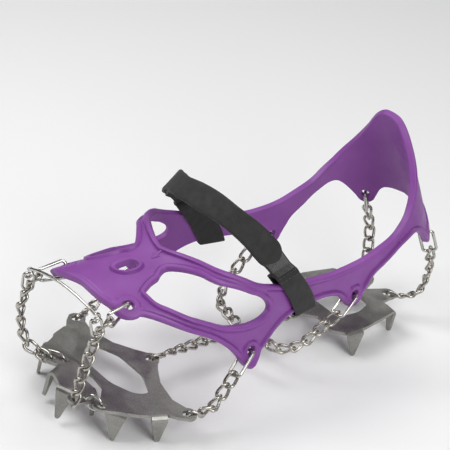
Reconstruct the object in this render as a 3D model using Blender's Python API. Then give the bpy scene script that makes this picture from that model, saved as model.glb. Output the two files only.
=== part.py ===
"""Chain crampon for a left hiking boot, in the shape it has on the boot.

An elastomer harness lies on the boot's upper. Steel wire links hang in its eight ears and
carry chains, and the chains hold three spiked steel plates under the sole. A wire bail
lies over the toe cap and a hook and loop strap crosses the instep.

Sizes are in millimetres and become metres when a mesh is made. The toe points to -Y, the
outer side of the foot is +X, and the spike tips stand on z = 0.
"""
import math

import bmesh
import bpy
from mathutils import Matrix, Vector
from mathutils.geometry import delaunay_2d_cdt

MM = 0.001

# Boot upper that the harness lies on: (station y, half width) and (station y, top height)
UPPER_WIDTH = [(-150, 18), (-135, 30), (-120, 36), (-94, 42), (-60, 49), (-23, 52),
               (10, 47), (40, 42), (70, 40), (108, 40)]
UPPER_TOP = [(-150, 60), (-120, 75), (-94, 81.5), (-76, 84), (-60, 88), (-40, 100),
             (-20, 117), (0, 137), (20, 158), (45, 190), (70, 215), (108, 230)]
UPPER_BASE = 34.0
ROUNDNESS = 2.5
HEEL_Y = 108.0
HEEL_RADIUS = 40.0
HEEL_BULGE = 3.0
BACK = HEEL_Y + HEEL_RADIUS * math.pi / 2
ANKLE_LEAN = 0.24
FLARE = 4.0
HEEL_TAPER = 0.14

# Harness
HARNESS_THICKNESS = 4.4
EAR_RADIUS = 8.5
EAR_HOLE = 2.7
VAMP_HOLE = 6.3
VAMP_HOLE_Y = -75.5
DOMAIN_SCALE = 60.0

# Steel wire and chain
LINK_WIRE = 2.0
CHAIN_WIRE = 2.0
CHAIN_PITCH = 8.6
CHAIN_WIDTH = 7.8
CHAIN_LAP = 0.9
WIRE_LINK_HALF = 4.3
BAIL_WIRE = 2.0
BAIL_LINK_WIRE = 1.7

# Plates
PLATE = 2.0
PLATE_TOP = 17.5
BLADE_WIDTH = 12.5
LUG_HOLE = 3.1

# Middle of the finished footprint, which becomes the origin
FOOTPRINT_MIDDLE = (0.31, 11.91, 0.0)

# Strap
STRAP_THICKNESS = 2.4
STRAP_BASE_THICKNESS = 1.6
STRAP_CLEARANCE = 0.8


def clear_scene():
    for old in list(bpy.data.objects):
        bpy.data.objects.remove(old, do_unlink=True)


# ---------------------------------------------------------------- curves and surfaces

def through(points, x):
    """Smooth value at x of the curve through the (x, value) points."""
    if x <= points[0][0]:
        return points[0][1]
    if x >= points[-1][0]:
        return points[-1][1]
    last = len(points) - 1

    def slope(i):
        a, b = points[max(i - 1, 0)], points[min(i + 1, last)]
        return (b[1] - a[1]) / (b[0] - a[0])

    for i in range(last):
        a, b = points[i], points[i + 1]
        if x <= b[0]:
            span = b[0] - a[0]
            t = (x - a[0]) / span
            leave, arrive = span * slope(i), span * slope(i + 1)
            return ((2 * t ** 3 - 3 * t ** 2 + 1) * a[1] + (t ** 3 - 2 * t ** 2 + t) * leave
                    + (3 * t ** 2 - 2 * t ** 3) * b[1] + (t ** 3 - t ** 2) * arrive)


def signed_power(value, exponent):
    return math.copysign(abs(value) ** exponent, value)


def section(u):
    """Centre, outward direction, half width and height of the upper at station u."""
    if u <= HEEL_Y:
        return Vector((0, u)), Vector((1, 0)), through(UPPER_WIDTH, u), through(UPPER_TOP, u) - UPPER_BASE
    turn = (u - HEEL_Y) / HEEL_RADIUS
    radius = HEEL_RADIUS + HEEL_BULGE * math.sin(turn)
    return (Vector((0, HEEL_Y)), Vector((math.cos(turn), math.sin(turn))), radius,
            through(UPPER_TOP, HEEL_Y) - UPPER_BASE)


def upper(u, t):
    """Point of the boot's outer half. u runs from the toe round to the back of the heel,
    t from 0 at the sole's edge to a quarter turn over the middle of the foot."""
    centre, out, width, height = section(u)
    z = UPPER_BASE + height * signed_power(math.sin(t), 2 / ROUNDNESS)
    r = width * signed_power(math.cos(t), 2 / ROUNDNESS)
    r += FLARE * (max(0.0, 50 - z) / 16) ** 2
    r -= HEEL_TAPER * max(0.0, z - 73) * min(1.0, max(0.0, (u - 70) / 50))
    lean = ANKLE_LEAN * max(0.0, z - 56) * min(1.0, max(0.0, (u + 30) / 90))
    return Vector((centre.x + out.x * r, centre.y + out.y * r - lean, z))


def upper_normal(u, t):
    step = 0.5
    du = upper(u + step, t) - upper(u - step, t)
    dt = upper(u, t + step / 60) - upper(u, t - step / 60)
    normal = du.cross(dt).normalized()
    if normal.z < 0 and t > 0.8 or normal.dot(upper(u, t) - Vector((0, min(u, HEEL_Y), 40))) < 0:
        normal = -normal
    return normal


def at_height(u, z):
    """(u, t) where the upper has height z."""
    height = section(u)[3]
    rise = max(-1.0, min(1.0, (z - UPPER_BASE) / height))
    return u, math.asin(signed_power(rise, ROUNDNESS / 2))


def at_breadth(u, x):
    """(u, t) where the upper, over the foot, is x from its middle."""
    return u, math.acos(min(1.0, abs(x) / section(u)[2]) ** (ROUNDNESS / 2))


def foot_shape(p):
    """The forefoot of a left foot turns inwards: shift, skew and tilt of a point."""
    front = min(1.0, max(0.0, (-60 - p.y) / 30))
    shift = -0.0028 * max(0.0, -60 - p.y) ** 2
    tilt = 0.05 * min(1.0, max(0.0, (-40 - p.y) / 50))
    return Vector((p.x + shift, p.y + 0.1 * front * p.x, p.z + tilt * p.x))


def round_point(centre, radius, angle):
    """(u, t) at a distance from a centre on the upper, measured along its surface."""
    u, t = centre
    step = 0.5
    per_u = (upper(u + step, t) - upper(u - step, t)).length / (2 * step)
    per_t = (upper(u, t + 0.01) - upper(u, t - 0.01)).length / 0.02
    return u + radius * math.cos(angle) / per_u, t + radius * math.sin(angle) / per_t


def arc(centre, radius, start, end, steps=6):
    return [round_point(centre, radius, math.radians(start + (end - start) * i / steps))
            for i in range(steps + 1)]


def spline(points, spacing):
    """Points along a smooth curve through the given (u, t) points."""
    pts = [Vector((u, t * DOMAIN_SCALE)) for u, t in points]
    pts = [2 * pts[0] - pts[1]] + pts + [2 * pts[-1] - pts[-2]]
    out = []
    for a, b, c, d in zip(pts, pts[1:], pts[2:], pts[3:]):
        count = max(1, round((c - b).length / spacing))
        for i in range(count):
            t = i / count
            out.append(0.5 * ((2 * b) + (c - a) * t + (2 * a - 5 * b + 4 * c - d) * t * t
                              + (3 * b - a - 3 * c + d) * t ** 3))
    out.append(pts[-2])
    return out


# ---------------------------------------------------------------- meshes and objects

def material(name, colour, roughness, metallic=0.0):
    mat = bpy.data.materials.get(name) or bpy.data.materials.new(name)
    mat.use_nodes = True
    shader = mat.node_tree.nodes["Principled BSDF"]
    shader.inputs["Base Color"].default_value = (*colour, 1)
    shader.inputs["Roughness"].default_value = roughness
    shader.inputs["Metallic"].default_value = metallic
    return mat


def elastomer():
    return material("purple_elastomer", (0.30, 0.09, 0.42), 0.45)


def steel():
    return material("stainless_steel", (0.62, 0.61, 0.58), 0.28, 1.0)


def webbing():
    return material("black_webbing", (0.02, 0.02, 0.022), 0.8)


def make_object(name, verts, faces, mat, origin=(0, 0, 0)):
    """One object from millimetre vertices, with its origin at a place of its own."""
    origin = Vector(origin)
    mesh = bpy.data.meshes.new(name)
    mesh.from_pydata([(Vector(v) - origin) * MM for v in verts], [], faces)
    bm = bmesh.new()
    bm.from_mesh(mesh)
    bmesh.ops.remove_doubles(bm, verts=bm.verts, dist=1e-6)
    bmesh.ops.recalc_face_normals(bm, faces=bm.faces)
    bm.to_mesh(mesh)
    bm.free()
    mesh.materials.append(mat)
    obj = bpy.data.objects.new(name, mesh)
    obj.location = origin * MM
    bpy.context.scene.collection.objects.link(obj)
    return obj


def boolean(obj, others, operation):
    """Join others to obj, or cut them out of it, and leave one plain mesh."""
    tools = bpy.data.collections.new("tools")
    bpy.context.scene.collection.children.link(tools)
    for other in others:
        bpy.context.scene.collection.objects.unlink(other)
        tools.objects.link(other)
    mod = obj.modifiers.new("combine", 'BOOLEAN')
    mod.operand_type = 'COLLECTION'
    mod.collection = tools
    mod.operation = operation
    mod.solver = 'EXACT'
    bpy.context.view_layer.update()
    shape = obj.evaluated_get(bpy.context.evaluated_depsgraph_get())
    mesh = bpy.data.meshes.new_from_object(shape)
    obj.modifiers.clear()
    obj.data = mesh
    for other in others:
        bpy.data.objects.remove(other, do_unlink=True)
    bpy.data.collections.remove(tools)
    return obj


def tube(points, radius, sides, closed=False, flat=None):
    """Vertices and faces of a round wire along the points."""
    count = len(points)
    verts, faces = [], []
    side = flat
    for i, p in enumerate(points):
        before = points[i - 1] if closed or i else p
        after = points[(i + 1) % count] if closed or i < count - 1 else p
        ahead = (after - before).normalized()
        if side is None:
            side = ahead.orthogonal()
        side = (side - ahead * side.dot(ahead)).normalized()
        up = ahead.cross(side)
        for k in range(sides):
            a = 2 * math.pi * k / sides
            verts.append(p + side * (radius * math.cos(a)) + up * (radius * math.sin(a)))
    rings = count if closed else count - 1
    for i in range(rings):
        a, b = i * sides, (i + 1) % count * sides
        for k in range(sides):
            n = (k + 1) % sides
            faces.append((a + k, a + n, b + n, b + k))
    if not closed:
        faces.append(tuple(range(sides)))
        faces.append(tuple((count - 1) * sides + k for k in range(sides)))
    return verts, faces


def ribbon(stations, thickness):
    """Vertices and faces of a flat band. A station is centre, across, normal, half width."""
    verts, faces = [], []
    for centre, across, normal, half in stations:
        for s, n in ((-1, -1), (1, -1), (1, 1), (-1, 1)):
            verts.append(centre + across * (s * half) + normal * (n * thickness / 2))
    for i in range(len(stations) - 1):
        a, b = 4 * i, 4 * i + 4
        for k in range(4):
            n = (k + 1) % 4
            faces.append((a + k, a + n, b + n, b + k))
    end = 4 * len(stations) - 4
    faces += [(0, 1, 2, 3), (end, end + 1, end + 2, end + 3)]
    return verts, faces


def prism(outline, z_low, z_high, place=Matrix()):
    """Vertices and faces of a flat outline given thickness."""
    count = len(outline)
    verts = [place @ Vector((x, y, z)) for z in (z_low, z_high) for x, y in outline]
    faces = [tuple(range(count)), tuple(range(count, 2 * count))]
    faces += [(i, (i + 1) % count, count + (i + 1) % count, count + i) for i in range(count)]
    return verts, faces


# ---------------------------------------------------------------- harness

FRONT_EAR = at_height(-93.5, 75.0)
MID_EAR = at_height(-21.5, 44.0)
REAR_EAR = at_height(68, 51.2)
HEEL_EAR = at_height(141, 71.5)


def harness_outline():
    """Edge of the outer half of the harness, from the front middle round to the rear middle."""
    front = [at_breadth(-104, 0), at_breadth(-105, 10), at_breadth(-104.5, 18), at_breadth(-102.5, 23.5)]
    to_mid = [at_height(-83, 69.3), at_height(-68, 63.8), at_height(-52, 58.3), at_height(-40, 51.2),
              at_height(-32, 43.5)]
    to_rear = [at_height(-9.5, 44), at_height(-1, 51.5), at_height(12, 56.5), at_height(33, 57.3),
               at_height(52, 54.5)]
    to_heel = [at_height(82.5, 60), at_height(94, 67.5), at_height(107, 76), at_height(122, 81)]
    to_back = [at_height(154, 80.5), (BACK, at_height(BACK, 84)[1])]
    edge = front + arc(FRONT_EAR, EAR_RADIUS, -160, -60) + to_mid
    edge += arc(MID_EAR, EAR_RADIUS, -150, -20) + to_rear
    edge += arc(REAR_EAR, EAR_RADIUS - 0.5, -150, -10) + to_heel
    edge += arc(HEEL_EAR, EAR_RADIUS - 1.5, -160, -10) + to_back
    return edge


def harness_top():
    """Upper edge of the outer half, from the back of the heel tab to the vamp's middle."""
    return [(BACK, at_height(BACK, 144)[1]), at_height(161, 143), at_height(152, 137), at_height(143, 125),
            at_height(134, 114), at_height(126, 105.5), at_height(118, 97), at_height(110, 90),
            at_height(102, 83.8), at_height(91, 79), at_height(76, 74), at_height(61, 71.8),
            at_height(45, 71.5), at_height(28, 73.6), at_height(8, 77), at_height(-12, 82.8),
            at_height(-26, 88.7), at_height(-37, 92), at_breadth(-44, 22.5), at_breadth(-49.5, 10),
            at_breadth(-52, 0)]


def side_window():
    return [at_height(-80.5, 79.5), at_height(-73, 82.2), at_height(-67.3, 83.8), at_height(-64, 85.2),
            at_height(-60, 86.8), at_height(-55, 88), at_height(-48, 88), at_height(-40, 84.9),
            at_height(-25, 80.2), at_height(-17, 76.8), at_height(-10.5, 72), at_height(-8.3, 67),
            at_height(-12, 63.6), at_height(-21, 61.8), at_height(-31, 62), at_height(-43, 64.3),
            at_height(-58, 69.4), at_height(-71, 73.8), at_height(-77.5, 76.2)]


def ring(centre, radius, steps):
    return [Vector((u, t * DOMAIN_SCALE))
            for u, t in (round_point(centre, radius, 2 * math.pi * i / steps) for i in range(steps))]


def inside(p, loop):
    hit = False
    for a, b in zip(loop, loop[1:] + loop[:1]):
        if (a.y > p.y) != (b.y > p.y) and p.x < (b.x - a.x) * (p.y - a.y) / (b.y - a.y) + a.x:
            hit = not hit
    return hit


def harness_loops(spacing, hole_steps):
    """Outer loop, with the vamp's half hole in it, and the hole loops, in the flat domain."""
    middle = math.pi / 2 * DOMAIN_SCALE
    outer = spline(harness_outline(), spacing)
    rise = (spline(harness_top(), spacing)[0] - outer[-1]).length
    steps = max(2, round(rise / spacing))
    top_start = spline(harness_top(), spacing)[0]
    outer += [outer[-1].lerp(top_start, i / steps) for i in range(1, steps)]
    outer += spline(harness_top(), spacing)
    hole = [Vector((u, t * DOMAIN_SCALE)) for u, t in
            (round_point((VAMP_HOLE_Y, math.pi / 2), VAMP_HOLE, -math.pi * i / hole_steps)
             for i in range(hole_steps + 1))]
    hole[0].y = hole[-1].y = middle
    outer += hole[:1]
    outer += hole[1:]
    for p in (outer[0], top_start):
        p.y = min(p.y, middle)
    window = spline(side_window() + side_window()[:1], spacing)[:-1]
    holes = [window] + [ring(ear, EAR_HOLE, hole_steps) for ear in (FRONT_EAR, MID_EAR, REAR_EAR, HEEL_EAR)]
    return outer, holes


def sheet_points(spacing, outer, holes):
    """Inner points of the sheet on a grid, clear of every edge."""
    edges = [p for loop in [outer] + holes for p in loop]
    grid = []
    low = Vector((min(p.x for p in outer), min(p.y for p in outer)))
    high = Vector((max(p.x for p in outer), max(p.y for p in outer)))
    for i in range(1, int((high.x - low.x) / spacing) + 1):
        for j in range(1, int((high.y - low.y) / spacing) + 1):
            p = low + Vector((i * spacing, j * spacing))
            near = min((p - e).length for e in edges)
            if near > 0.55 * spacing and inside(p, outer) and not any(inside(p, h) for h in holes):
                grid.append(p)
    return grid


def harness_mesh(spacing, hole_steps, thickness):
    """Closed mesh of the whole harness: a flat sheet laid on the upper and mirrored."""
    outer, holes = harness_loops(spacing, hole_steps)
    loops = [outer] + holes
    points = [p for loop in loops for p in loop]
    edges, start = [], 0
    for loop in loops:
        edges += [(start + i, start + (i + 1) % len(loop)) for i in range(len(loop))]
        start += len(loop)
    points += sheet_points(spacing * 1.9, outer, holes)
    flat, _, triangles, *_ = delaunay_2d_cdt(points, edges, [], 0, 1e-6)
    keep = []
    for tri in triangles:
        mid = (flat[tri[0]] + flat[tri[1]] + flat[tri[2]]) / 3
        if inside(mid, outer) and not any(inside(mid, h) for h in holes):
            keep.append(tuple(tri))
    middle = math.pi / 2 * DOMAIN_SCALE
    verts = []
    for side in (-1, 1):
        for p in flat:
            u, t = p.x, p.y / DOMAIN_SCALE
            normal = upper_normal(u, t)
            on_seam = abs(p.y - middle) < 1e-4 or abs(u - BACK) < 1e-4
            if on_seam:
                normal.x = 0
                normal.normalize()
            v = upper(u, t) + normal * (side * thickness / 2)
            if on_seam:
                v.x = 0
            verts.append(v)
    count = len(flat)
    faces = [tuple(reversed(t)) for t in keep] + [tuple(i + count for i in t) for t in keep]
    used = {}
    for tri in keep:
        for a, b in zip(tri, tri[1:] + tri[:1]):
            used[(a, b)] = used.get((a, b), 0) + 1
    for a, b in list(used):
        if (b, a) not in used:
            if abs(verts[a].x) < 1e-6 and abs(verts[b].x) < 1e-6:
                continue
            faces.append((a, b, b + count, a + count))
    size = len(verts)
    verts += [Vector((-v.x, v.y, v.z)) for v in verts]
    faces += [tuple(reversed([i + size for i in f])) for f in faces]
    return [foot_shape(v) for v in verts], faces


def build_harness():
    verts, faces = harness_mesh(5.0, 8, HARNESS_THICKNESS)
    return make_object("harness", verts, faces, elastomer())


# ---------------------------------------------------------------- wire links and chains

def wire_link(name, hole, foot, normal, half=WIRE_LINK_HALF, foot_normal=None):
    """Rectangular wire loop: one end through the ear's hole, the other below at foot."""
    ahead = (foot - hole).normalized()
    normal = (normal - ahead * normal.dot(ahead)).normalized()
    last = foot_normal or normal
    last = (last - ahead * last.dot(ahead)).normalized()
    if last.dot(normal) < 0:
        last = -last
    bend = 2.0
    length = (foot - hole).length
    path = []
    for x0, y0, start in ((bend, half - bend, 90), (length - bend, half - bend, 0),
                          (length - bend, bend - half, -90), (bend, bend - half, -180)):
        for i in range(3):
            a = math.radians(start + 90 - 45 * i)
            x = x0 + bend * math.cos(a)
            side = normal.lerp(last, x / length).normalized()
            path.append(hole + ahead * x + side * (y0 + bend * math.sin(a)))
    verts, faces = tube(path, LINK_WIRE / 2, 6, closed=True, flat=ahead.cross(normal))
    return make_object(name, verts, faces, steel(), origin=hole), last


def oval(centre, ahead, across, length, width):
    """Round-ended loop that a chain link's wire follows."""
    r = width / 2
    straight = length / 2 - r
    path = []
    for end, start in ((1, 90), (-1, -90)):
        for i in range(4):
            a = math.radians(start - 60 * i)
            path.append(centre + ahead * (end * straight + r * math.cos(a)) + across * (r * math.sin(a)))
    return path


def along(route, distance):
    """Point and direction at a distance along straight runs through the route's points."""
    for a, b in zip(route, route[1:]):
        run = (b - a).length
        if distance <= run or b is route[-1]:
            return a + (b - a) * (distance / run), (b - a).normalized()
        distance -= run


def chain(name, route, first_across, last_across):
    """One body of links along a route. The first link hangs on a wire at the route's start
    and the last link's end passes through a hole at the route's end."""
    total = sum((b - a).length for a, b in zip(route, route[1:]))
    hang = LINK_WIRE / 2 + CHAIN_WIRE / 2 + 0.5
    reach = total + hang
    overlap = CHAIN_WIRE - CHAIN_LAP
    count = max(2, round((reach - overlap) / CHAIN_PITCH))
    pitch = (reach - overlap) / count
    length = pitch + overlap
    route = [route[0] - (route[1] - route[0]).normalized() * hang] + route[1:]
    centres = []
    for i in range(count):
        middle = length / 2 + pitch * i
        a, _ = along(route, middle - length / 2)
        b, _ = along(route, middle + length / 2)
        centres.append(((a + b) / 2, (b - a).normalized()))
    ahead0 = centres[0][1]
    side = (first_across - ahead0 * first_across.dot(ahead0)).normalized()
    sides = []
    for i, (_, ahead) in enumerate(centres):
        side = (side - ahead * side.dot(ahead)).normalized()
        sides.append(side)
        side = ahead.cross(side)
    ahead = centres[-1][1]
    wanted = (last_across - ahead * last_across.dot(ahead)).normalized()
    twist = math.atan2(ahead.dot(sides[-1].cross(wanted)), sides[-1].dot(wanted))
    twist -= math.pi * round(twist / math.pi)
    links = []
    for i, (centre, ahead) in enumerate(centres):
        part_twist = twist * i / (count - 1)
        across = Matrix.Rotation(part_twist, 3, ahead) @ sides[i]
        path = oval(centre, ahead, across, length, CHAIN_WIDTH - CHAIN_WIRE)
        verts, faces = tube(path, CHAIN_WIRE / 2, 5, closed=True, flat=ahead.cross(across))
        link_name = name + "_tool" if i else name
        links.append(make_object(link_name, verts, faces, steel(), origin=route[0]))
    boolean(links[0], links[1:], 'UNION')
    return centres, sides


EARS = {"front": FRONT_EAR, "mid": MID_EAR, "rear": REAR_EAR, "heel": HEEL_EAR}
SIDES = (("left", 1), ("right", -1))

# Lower strand of each wire link, and the way its chain takes down to a plate or the ring
FRONT_FEET = {"left": (25.6, -104.6, 71.6), "right": (-36.0, -110.8, 69.0)}
FEET = {"mid": (57.0, -34.5, 33.0), "rear": (42.4, 55.5, 40.5), "heel": (30.0, 141.0, 57.2)}
FRONT_ROUTES = {"left": [(24.6, -110.2, 66.8), (25.4, -120.2, 36.0)],
                "right": [(-37.6, -115.0, 64.5), (-41.5, -118.0, 48.0), (-34.0, -119.0, 28.0)]}
FRONT_ENDS = {"left": [(2.5, -2.5, -2.2), (0.7, -0.7, 0)], "right": [(0, 0, -0.8), (0, 0, 1)]}
ROUTES = {"mid": [(59.5, -44.0, 24.0), (60.5, -53.0, 15.0)],
          "rear": [(38.0, 34.0, 22.0), (32.0, 25.5, 16.5), (2.7, 19.3, 16.5)],
          "heel": [(29.0, 145.5, 44.0), (26.5, 145.5, 27.0), (21.5, 141.0, 17.5), (10.5, 131.0, 16.5)]}
BAIL_EYES = {"left": (25.0, -114.0, 76.0), "right": (-36.0, -117.4, 72.6)}


def sided(p, side):
    return Vector((p[0] * side, p[1], p[2]))


def ear_place(where, side):
    """Middle of an ear's hole and the direction square to the sheet there."""
    u, t = EARS[where]
    p = foot_shape(sided(upper(u, t), side))
    ahead = foot_shape(sided(upper(u + 0.5, t), side)) - p
    rise = foot_shape(sided(upper(u, t + 0.01), side)) - p
    normal = ahead.cross(rise).normalized()
    return p, normal if normal.x * side > 0 else -normal


def build_hangers():
    """Wire links and chains. Gives each front chain's second link, which the bail hangs on."""
    held = {}
    for where in ("front", "mid", "rear", "heel"):
        for side_name, side in SIDES:
            hole, normal = ear_place(where, side)
            name = "_wire_" + side_name
            if where == "front":
                foot = Vector(FRONT_FEET[side_name])
                route = [foot] + [Vector(p) for p in FRONT_ROUTES[side_name]]
                route.append(toe_lug(side) + Vector(FRONT_ENDS[side_name][0]))
                last = Vector(FRONT_ENDS[side_name][1])
                across = Vector((1, 0, 0))
                ahead = (route[1] - route[0]).normalized()
                across = (across - ahead * across.dot(ahead)).normalized()
                _, strand = wire_link(where + name, hole, foot, normal, 4.9, ahead.cross(across))
            else:
                foot = sided(FEET[where], side)
                last = Vector((0, 0, 1))
                route = [foot] + [sided(p, side) for p in ROUTES[where]]
                if where == "mid":
                    route.append(mid_lug(side))
                _, strand = wire_link(where + name, hole, foot, normal)
                across = strand.cross((route[1] - route[0]).normalized())
            centres, sides = chain(where + "_chain_" + side_name, route, across, last)
            if where == "front":
                held[side_name] = (centres[1][0], centres[1][1], sides[1])
    return held


def small_link(name, a, b, across, width, wire):
    """One oval link whose ends pass through a and b."""
    ahead = (b - a).normalized()
    across = (across - ahead * across.dot(ahead)).normalized()
    path = oval((a + b) / 2, ahead, across, (b - a).length, width)
    verts, faces = tube(path, wire / 2, 6, closed=True, flat=ahead.cross(across))
    return make_object(name, verts, faces, steel(), origin=(a + b) / 2)


def build_bail(held):
    """Wire over the toe cap, with an eye at each end held by a small link on the chain."""
    near, far = Vector(BAIL_EYES["left"]), Vector(BAIL_EYES["right"])
    axis = (far - near).normalized()
    up = Vector((0, -0.25, 1))
    up = (up - axis * up.dot(axis)).normalized()
    radius = 2.7
    path = []
    for i in range(8):
        a = math.radians(-150 + 40 * i)
        path.append(near + axis.cross(up) * (radius * math.cos(a)) + up * (radius * math.sin(a)))
    span = (far - near).length
    bow = []
    for i in range(1, 12):
        share = i / 12
        bow.append(near + axis * (span * share) + up * (2.7 + 6.5 * math.sin(math.pi * share) ** 0.8))
    end = [far + axis.cross(up) * (radius * math.cos(math.radians(130 - 40 * i)))
           + up * (radius * math.sin(math.radians(130 - 40 * i))) for i in range(8)]
    verts, faces = tube(path + bow + end, BAIL_WIRE / 2, 6)
    make_object("toe_bail", verts, faces, steel(), origin=near)
    for side_name, (centre, ahead, side) in held.items():
        eye = Vector(BAIL_EYES[side_name])
        toward = side if side.dot(eye - centre) > 0 else -side
        hook = centre + toward * ((CHAIN_WIDTH - CHAIN_WIRE) / 2 - (CHAIN_WIRE + BAIL_LINK_WIRE) / 2 - 0.2)
        small_link("bail_link_" + side_name, hook, eye, ahead.cross(side), 6.2, BAIL_LINK_WIRE)


# ---------------------------------------------------------------- plates

def blade_stations(root, out, width, length, splay):
    """Stations of a spike bent down from a plate's edge. root is the middle of the bend
    line on the plate's middle plane, out the flat direction away from the plate."""
    bend = 2.4
    across = Vector((-out.y, out.x, 0))
    stations = [(root - out * 4, across, Vector((0, 0, 1)), width / 2)]
    for i in range(4):
        a = math.radians((90 - splay) * i / 3)
        centre = root + out * (bend * math.sin(a)) + Vector((0, 0, -bend * (1 - math.cos(a))))
        normal = Vector((0, 0, math.cos(a))) + out * math.sin(a)
        stations.append((centre, across, normal, width / 2))
    down = Vector((0, 0, -1)) + out * math.tan(math.radians(splay))
    start, normal = stations[-1][0], stations[-1][2]
    tip_half = 1.6
    reach = length - bend
    for share, half in ((0.9, tip_half), (0.965, tip_half * 0.8), (1.0, tip_half * 0.35)):
        stations.append((start + down * (reach * share), across, normal, half))
    return stations


def blade(name, root, out, width, length, splay):
    verts, faces = ribbon(blade_stations(root, out.normalized(), width, length, splay), PLATE - 0.04)
    return make_object(name, verts, faces, steel())


def hole_cutter(centre, radius, height=8.0, steps=20):
    outline = [(centre.x + radius * math.cos(2 * math.pi * i / steps),
                centre.y + radius * math.sin(2 * math.pi * i / steps)) for i in range(steps)]
    verts, faces = prism(outline, centre.z - height / 2, centre.z + height / 2)
    return make_object("hole_tool", verts, faces, steel())


def lug_arc(x, y, radius, start, end, steps=9):
    return [(x + radius * math.cos(math.radians(start + (end - start) * i / steps)),
             y + radius * math.sin(math.radians(start + (end - start) * i / steps)))
            for i in range(steps + 1)]


def plate(name, half, blades, holes, cuts, z_mid, origin):
    """A plate mirrored about x = 0, with its bent spikes joined and its holes cut."""
    outline = half + [(-x, y) for x, y in reversed(half) if abs(x) > 1e-6]
    verts, faces = prism(outline, z_mid - PLATE / 2, z_mid + PLATE / 2)
    obj = make_object(name, verts, faces, steel(), origin=origin)
    spikes = []
    for (x, y), (dx, dy), width, length, splay in blades:
        for side in (1, -1):
            spikes.append(blade(name + "_tool", Vector((x * side, y, z_mid)), Vector((dx * side, dy, 0)),
                                width, length, splay))
    boolean(obj, spikes, 'UNION')
    tools = [hole_cutter(Vector((x * side, y, z_mid)), LUG_HOLE)
             for x, y in holes for side in ((1, -1) if x else (1,))]
    for cut in cuts:
        verts, faces = prism(cut, z_mid - 4, z_mid + 4)
        tools.append(make_object("cut_tool", verts, faces, steel()))
    return boolean(obj, tools, 'DIFFERENCE')


def rounded(points, radius, steps=3):
    """Outline with its corners rounded."""
    out = []
    count = len(points)
    for i in range(count):
        a, b, c = (Vector(points[i - 1]), Vector(points[i]), Vector(points[(i + 1) % count]))
        reach = min(radius, 0.45 * (a - b).length, 0.45 * (c - b).length)
        p, q = b + (a - b).normalized() * reach, b + (c - b).normalized() * reach
        for k in range(steps + 1):
            t = k / steps
            v = p * (1 - t) ** 2 + b * (2 * t * (1 - t)) + q * t ** 2
            out.append((v.x, v.y))
    return out


PLATE_MID = PLATE_TOP - PLATE / 2


TOE_LINK_WIDTH = 8.6
MID_SHIFT = 2.0
MID_FOLD = -92.0
MID_UPTURN = 0.15
MID_FRONT_LUG = (29.5, -107.8)
MID_REAR_LUG = (56.0, -66.5)
MID_TAIL_LUG = (0.0, -52.0)
HEEL_FRONT_LUG = (0.0, 66.0)
HEEL_REAR_LUG = (10.5, 131.0)
RING = (0.0, 19.3)
RING_RADIUS = 5.0


def front_rise(y):
    """The mid plate's front corners follow the sole's upturn."""
    return MID_UPTURN * max(0.0, MID_FOLD - y)


def mid_lug(side, where=MID_REAR_LUG):
    return Vector((MID_SHIFT + where[0] * side, where[1], PLATE_MID + front_rise(where[1])))


def build_mid_plate():
    half = [(0, -93), (12, -95), (22, -103)] + lug_arc(*MID_FRONT_LUG, 5.0, 190, 330)
    half += [(41.5, -96.5), (48.5, -85.5), (51, -77.5), (57, -73)]
    half += lug_arc(*MID_REAR_LUG, 5.6, -20, 150)
    half += [(41, -66), (24, -62), (12, -55)] + lug_arc(*MID_TAIL_LUG, 5.6, 20, 90, 4)
    blades = [((35.6, -101.1), (0.62, -0.78), BLADE_WIDTH, PLATE_MID + 1.56, 6),
              ((49.0, -81.3), (0.93, -0.36), 9.5, PLATE_MID, -4)]
    cut = rounded([(-26, -82), (-10, -88), (10, -88), (26, -82),
                   (30, -74), (12, -66), (-12, -66), (-30, -74)], 4)
    holes = [MID_FRONT_LUG, MID_REAR_LUG, MID_TAIL_LUG]
    obj = plate("mid_plate", half, blades, holes, [cut], PLATE_MID, (0, -82, PLATE_MID))
    fold = bmesh.new()
    fold.from_mesh(obj.data)
    at = Vector((0, MID_FOLD * MM, 0)) - obj.location
    bmesh.ops.bisect_plane(fold, geom=fold.verts[:] + fold.edges[:] + fold.faces[:], dist=1e-7,
                           plane_co=at, plane_no=(0, 1, 0))
    for v in fold.verts:
        v.co.z += front_rise((v.co.y + obj.location.y) / MM) * MM
    bmesh.ops.triangulate(fold, faces=[f for f in fold.faces if len(f.verts) > 4])
    fold.to_mesh(obj.data)
    fold.free()
    obj.location.x = MID_SHIFT * MM


def build_heel_plate():
    half = lug_arc(*HEEL_FRONT_LUG, 5.6, 270, 340, 4)
    half += [(12, 71), (28, 68), (34.5, 74), (35.5, 90), (32, 108), (29.5, 119.5), (17, 121.5)]
    half += lug_arc(*HEEL_REAR_LUG, 5.6, -20, 160) + [(0, 121)]
    blades = [((34.0, 81.5), (1, 0), BLADE_WIDTH, PLATE_MID, 0),
              ((24.5, 119.8), (0.12, 0.99), 8.5, PLATE_MID, 3)]
    cut = rounded([(-18, 82), (18, 82), (20, 98), (14, 112), (-14, 112), (-20, 98)], 5)
    plate("heel_plate", half, blades, [HEEL_FRONT_LUG, HEEL_REAR_LUG], [cut], PLATE_MID, (0, 100, PLATE_MID))


TOE_PLACE = Vector((1.0, -120.1, 22.9))
TOE_PITCH = -8.0
TOE_YAW = -15.0
TOE_LUG = (21.3, 5.5)
TOE_LINK_HOLE = (19.3, 13.4)


def toe_place(p):
    """Placement of the toe plate, which follows the sole's upturned, inturned toe."""
    turn = Matrix.Rotation(math.radians(TOE_YAW), 3, 'Z') @ Matrix.Rotation(math.radians(TOE_PITCH), 3, 'X')
    return TOE_PLACE + turn @ Vector(p)


def toe_lug(side, where=TOE_LUG):
    return toe_place((where[0] * side, where[1], 0))


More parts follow.
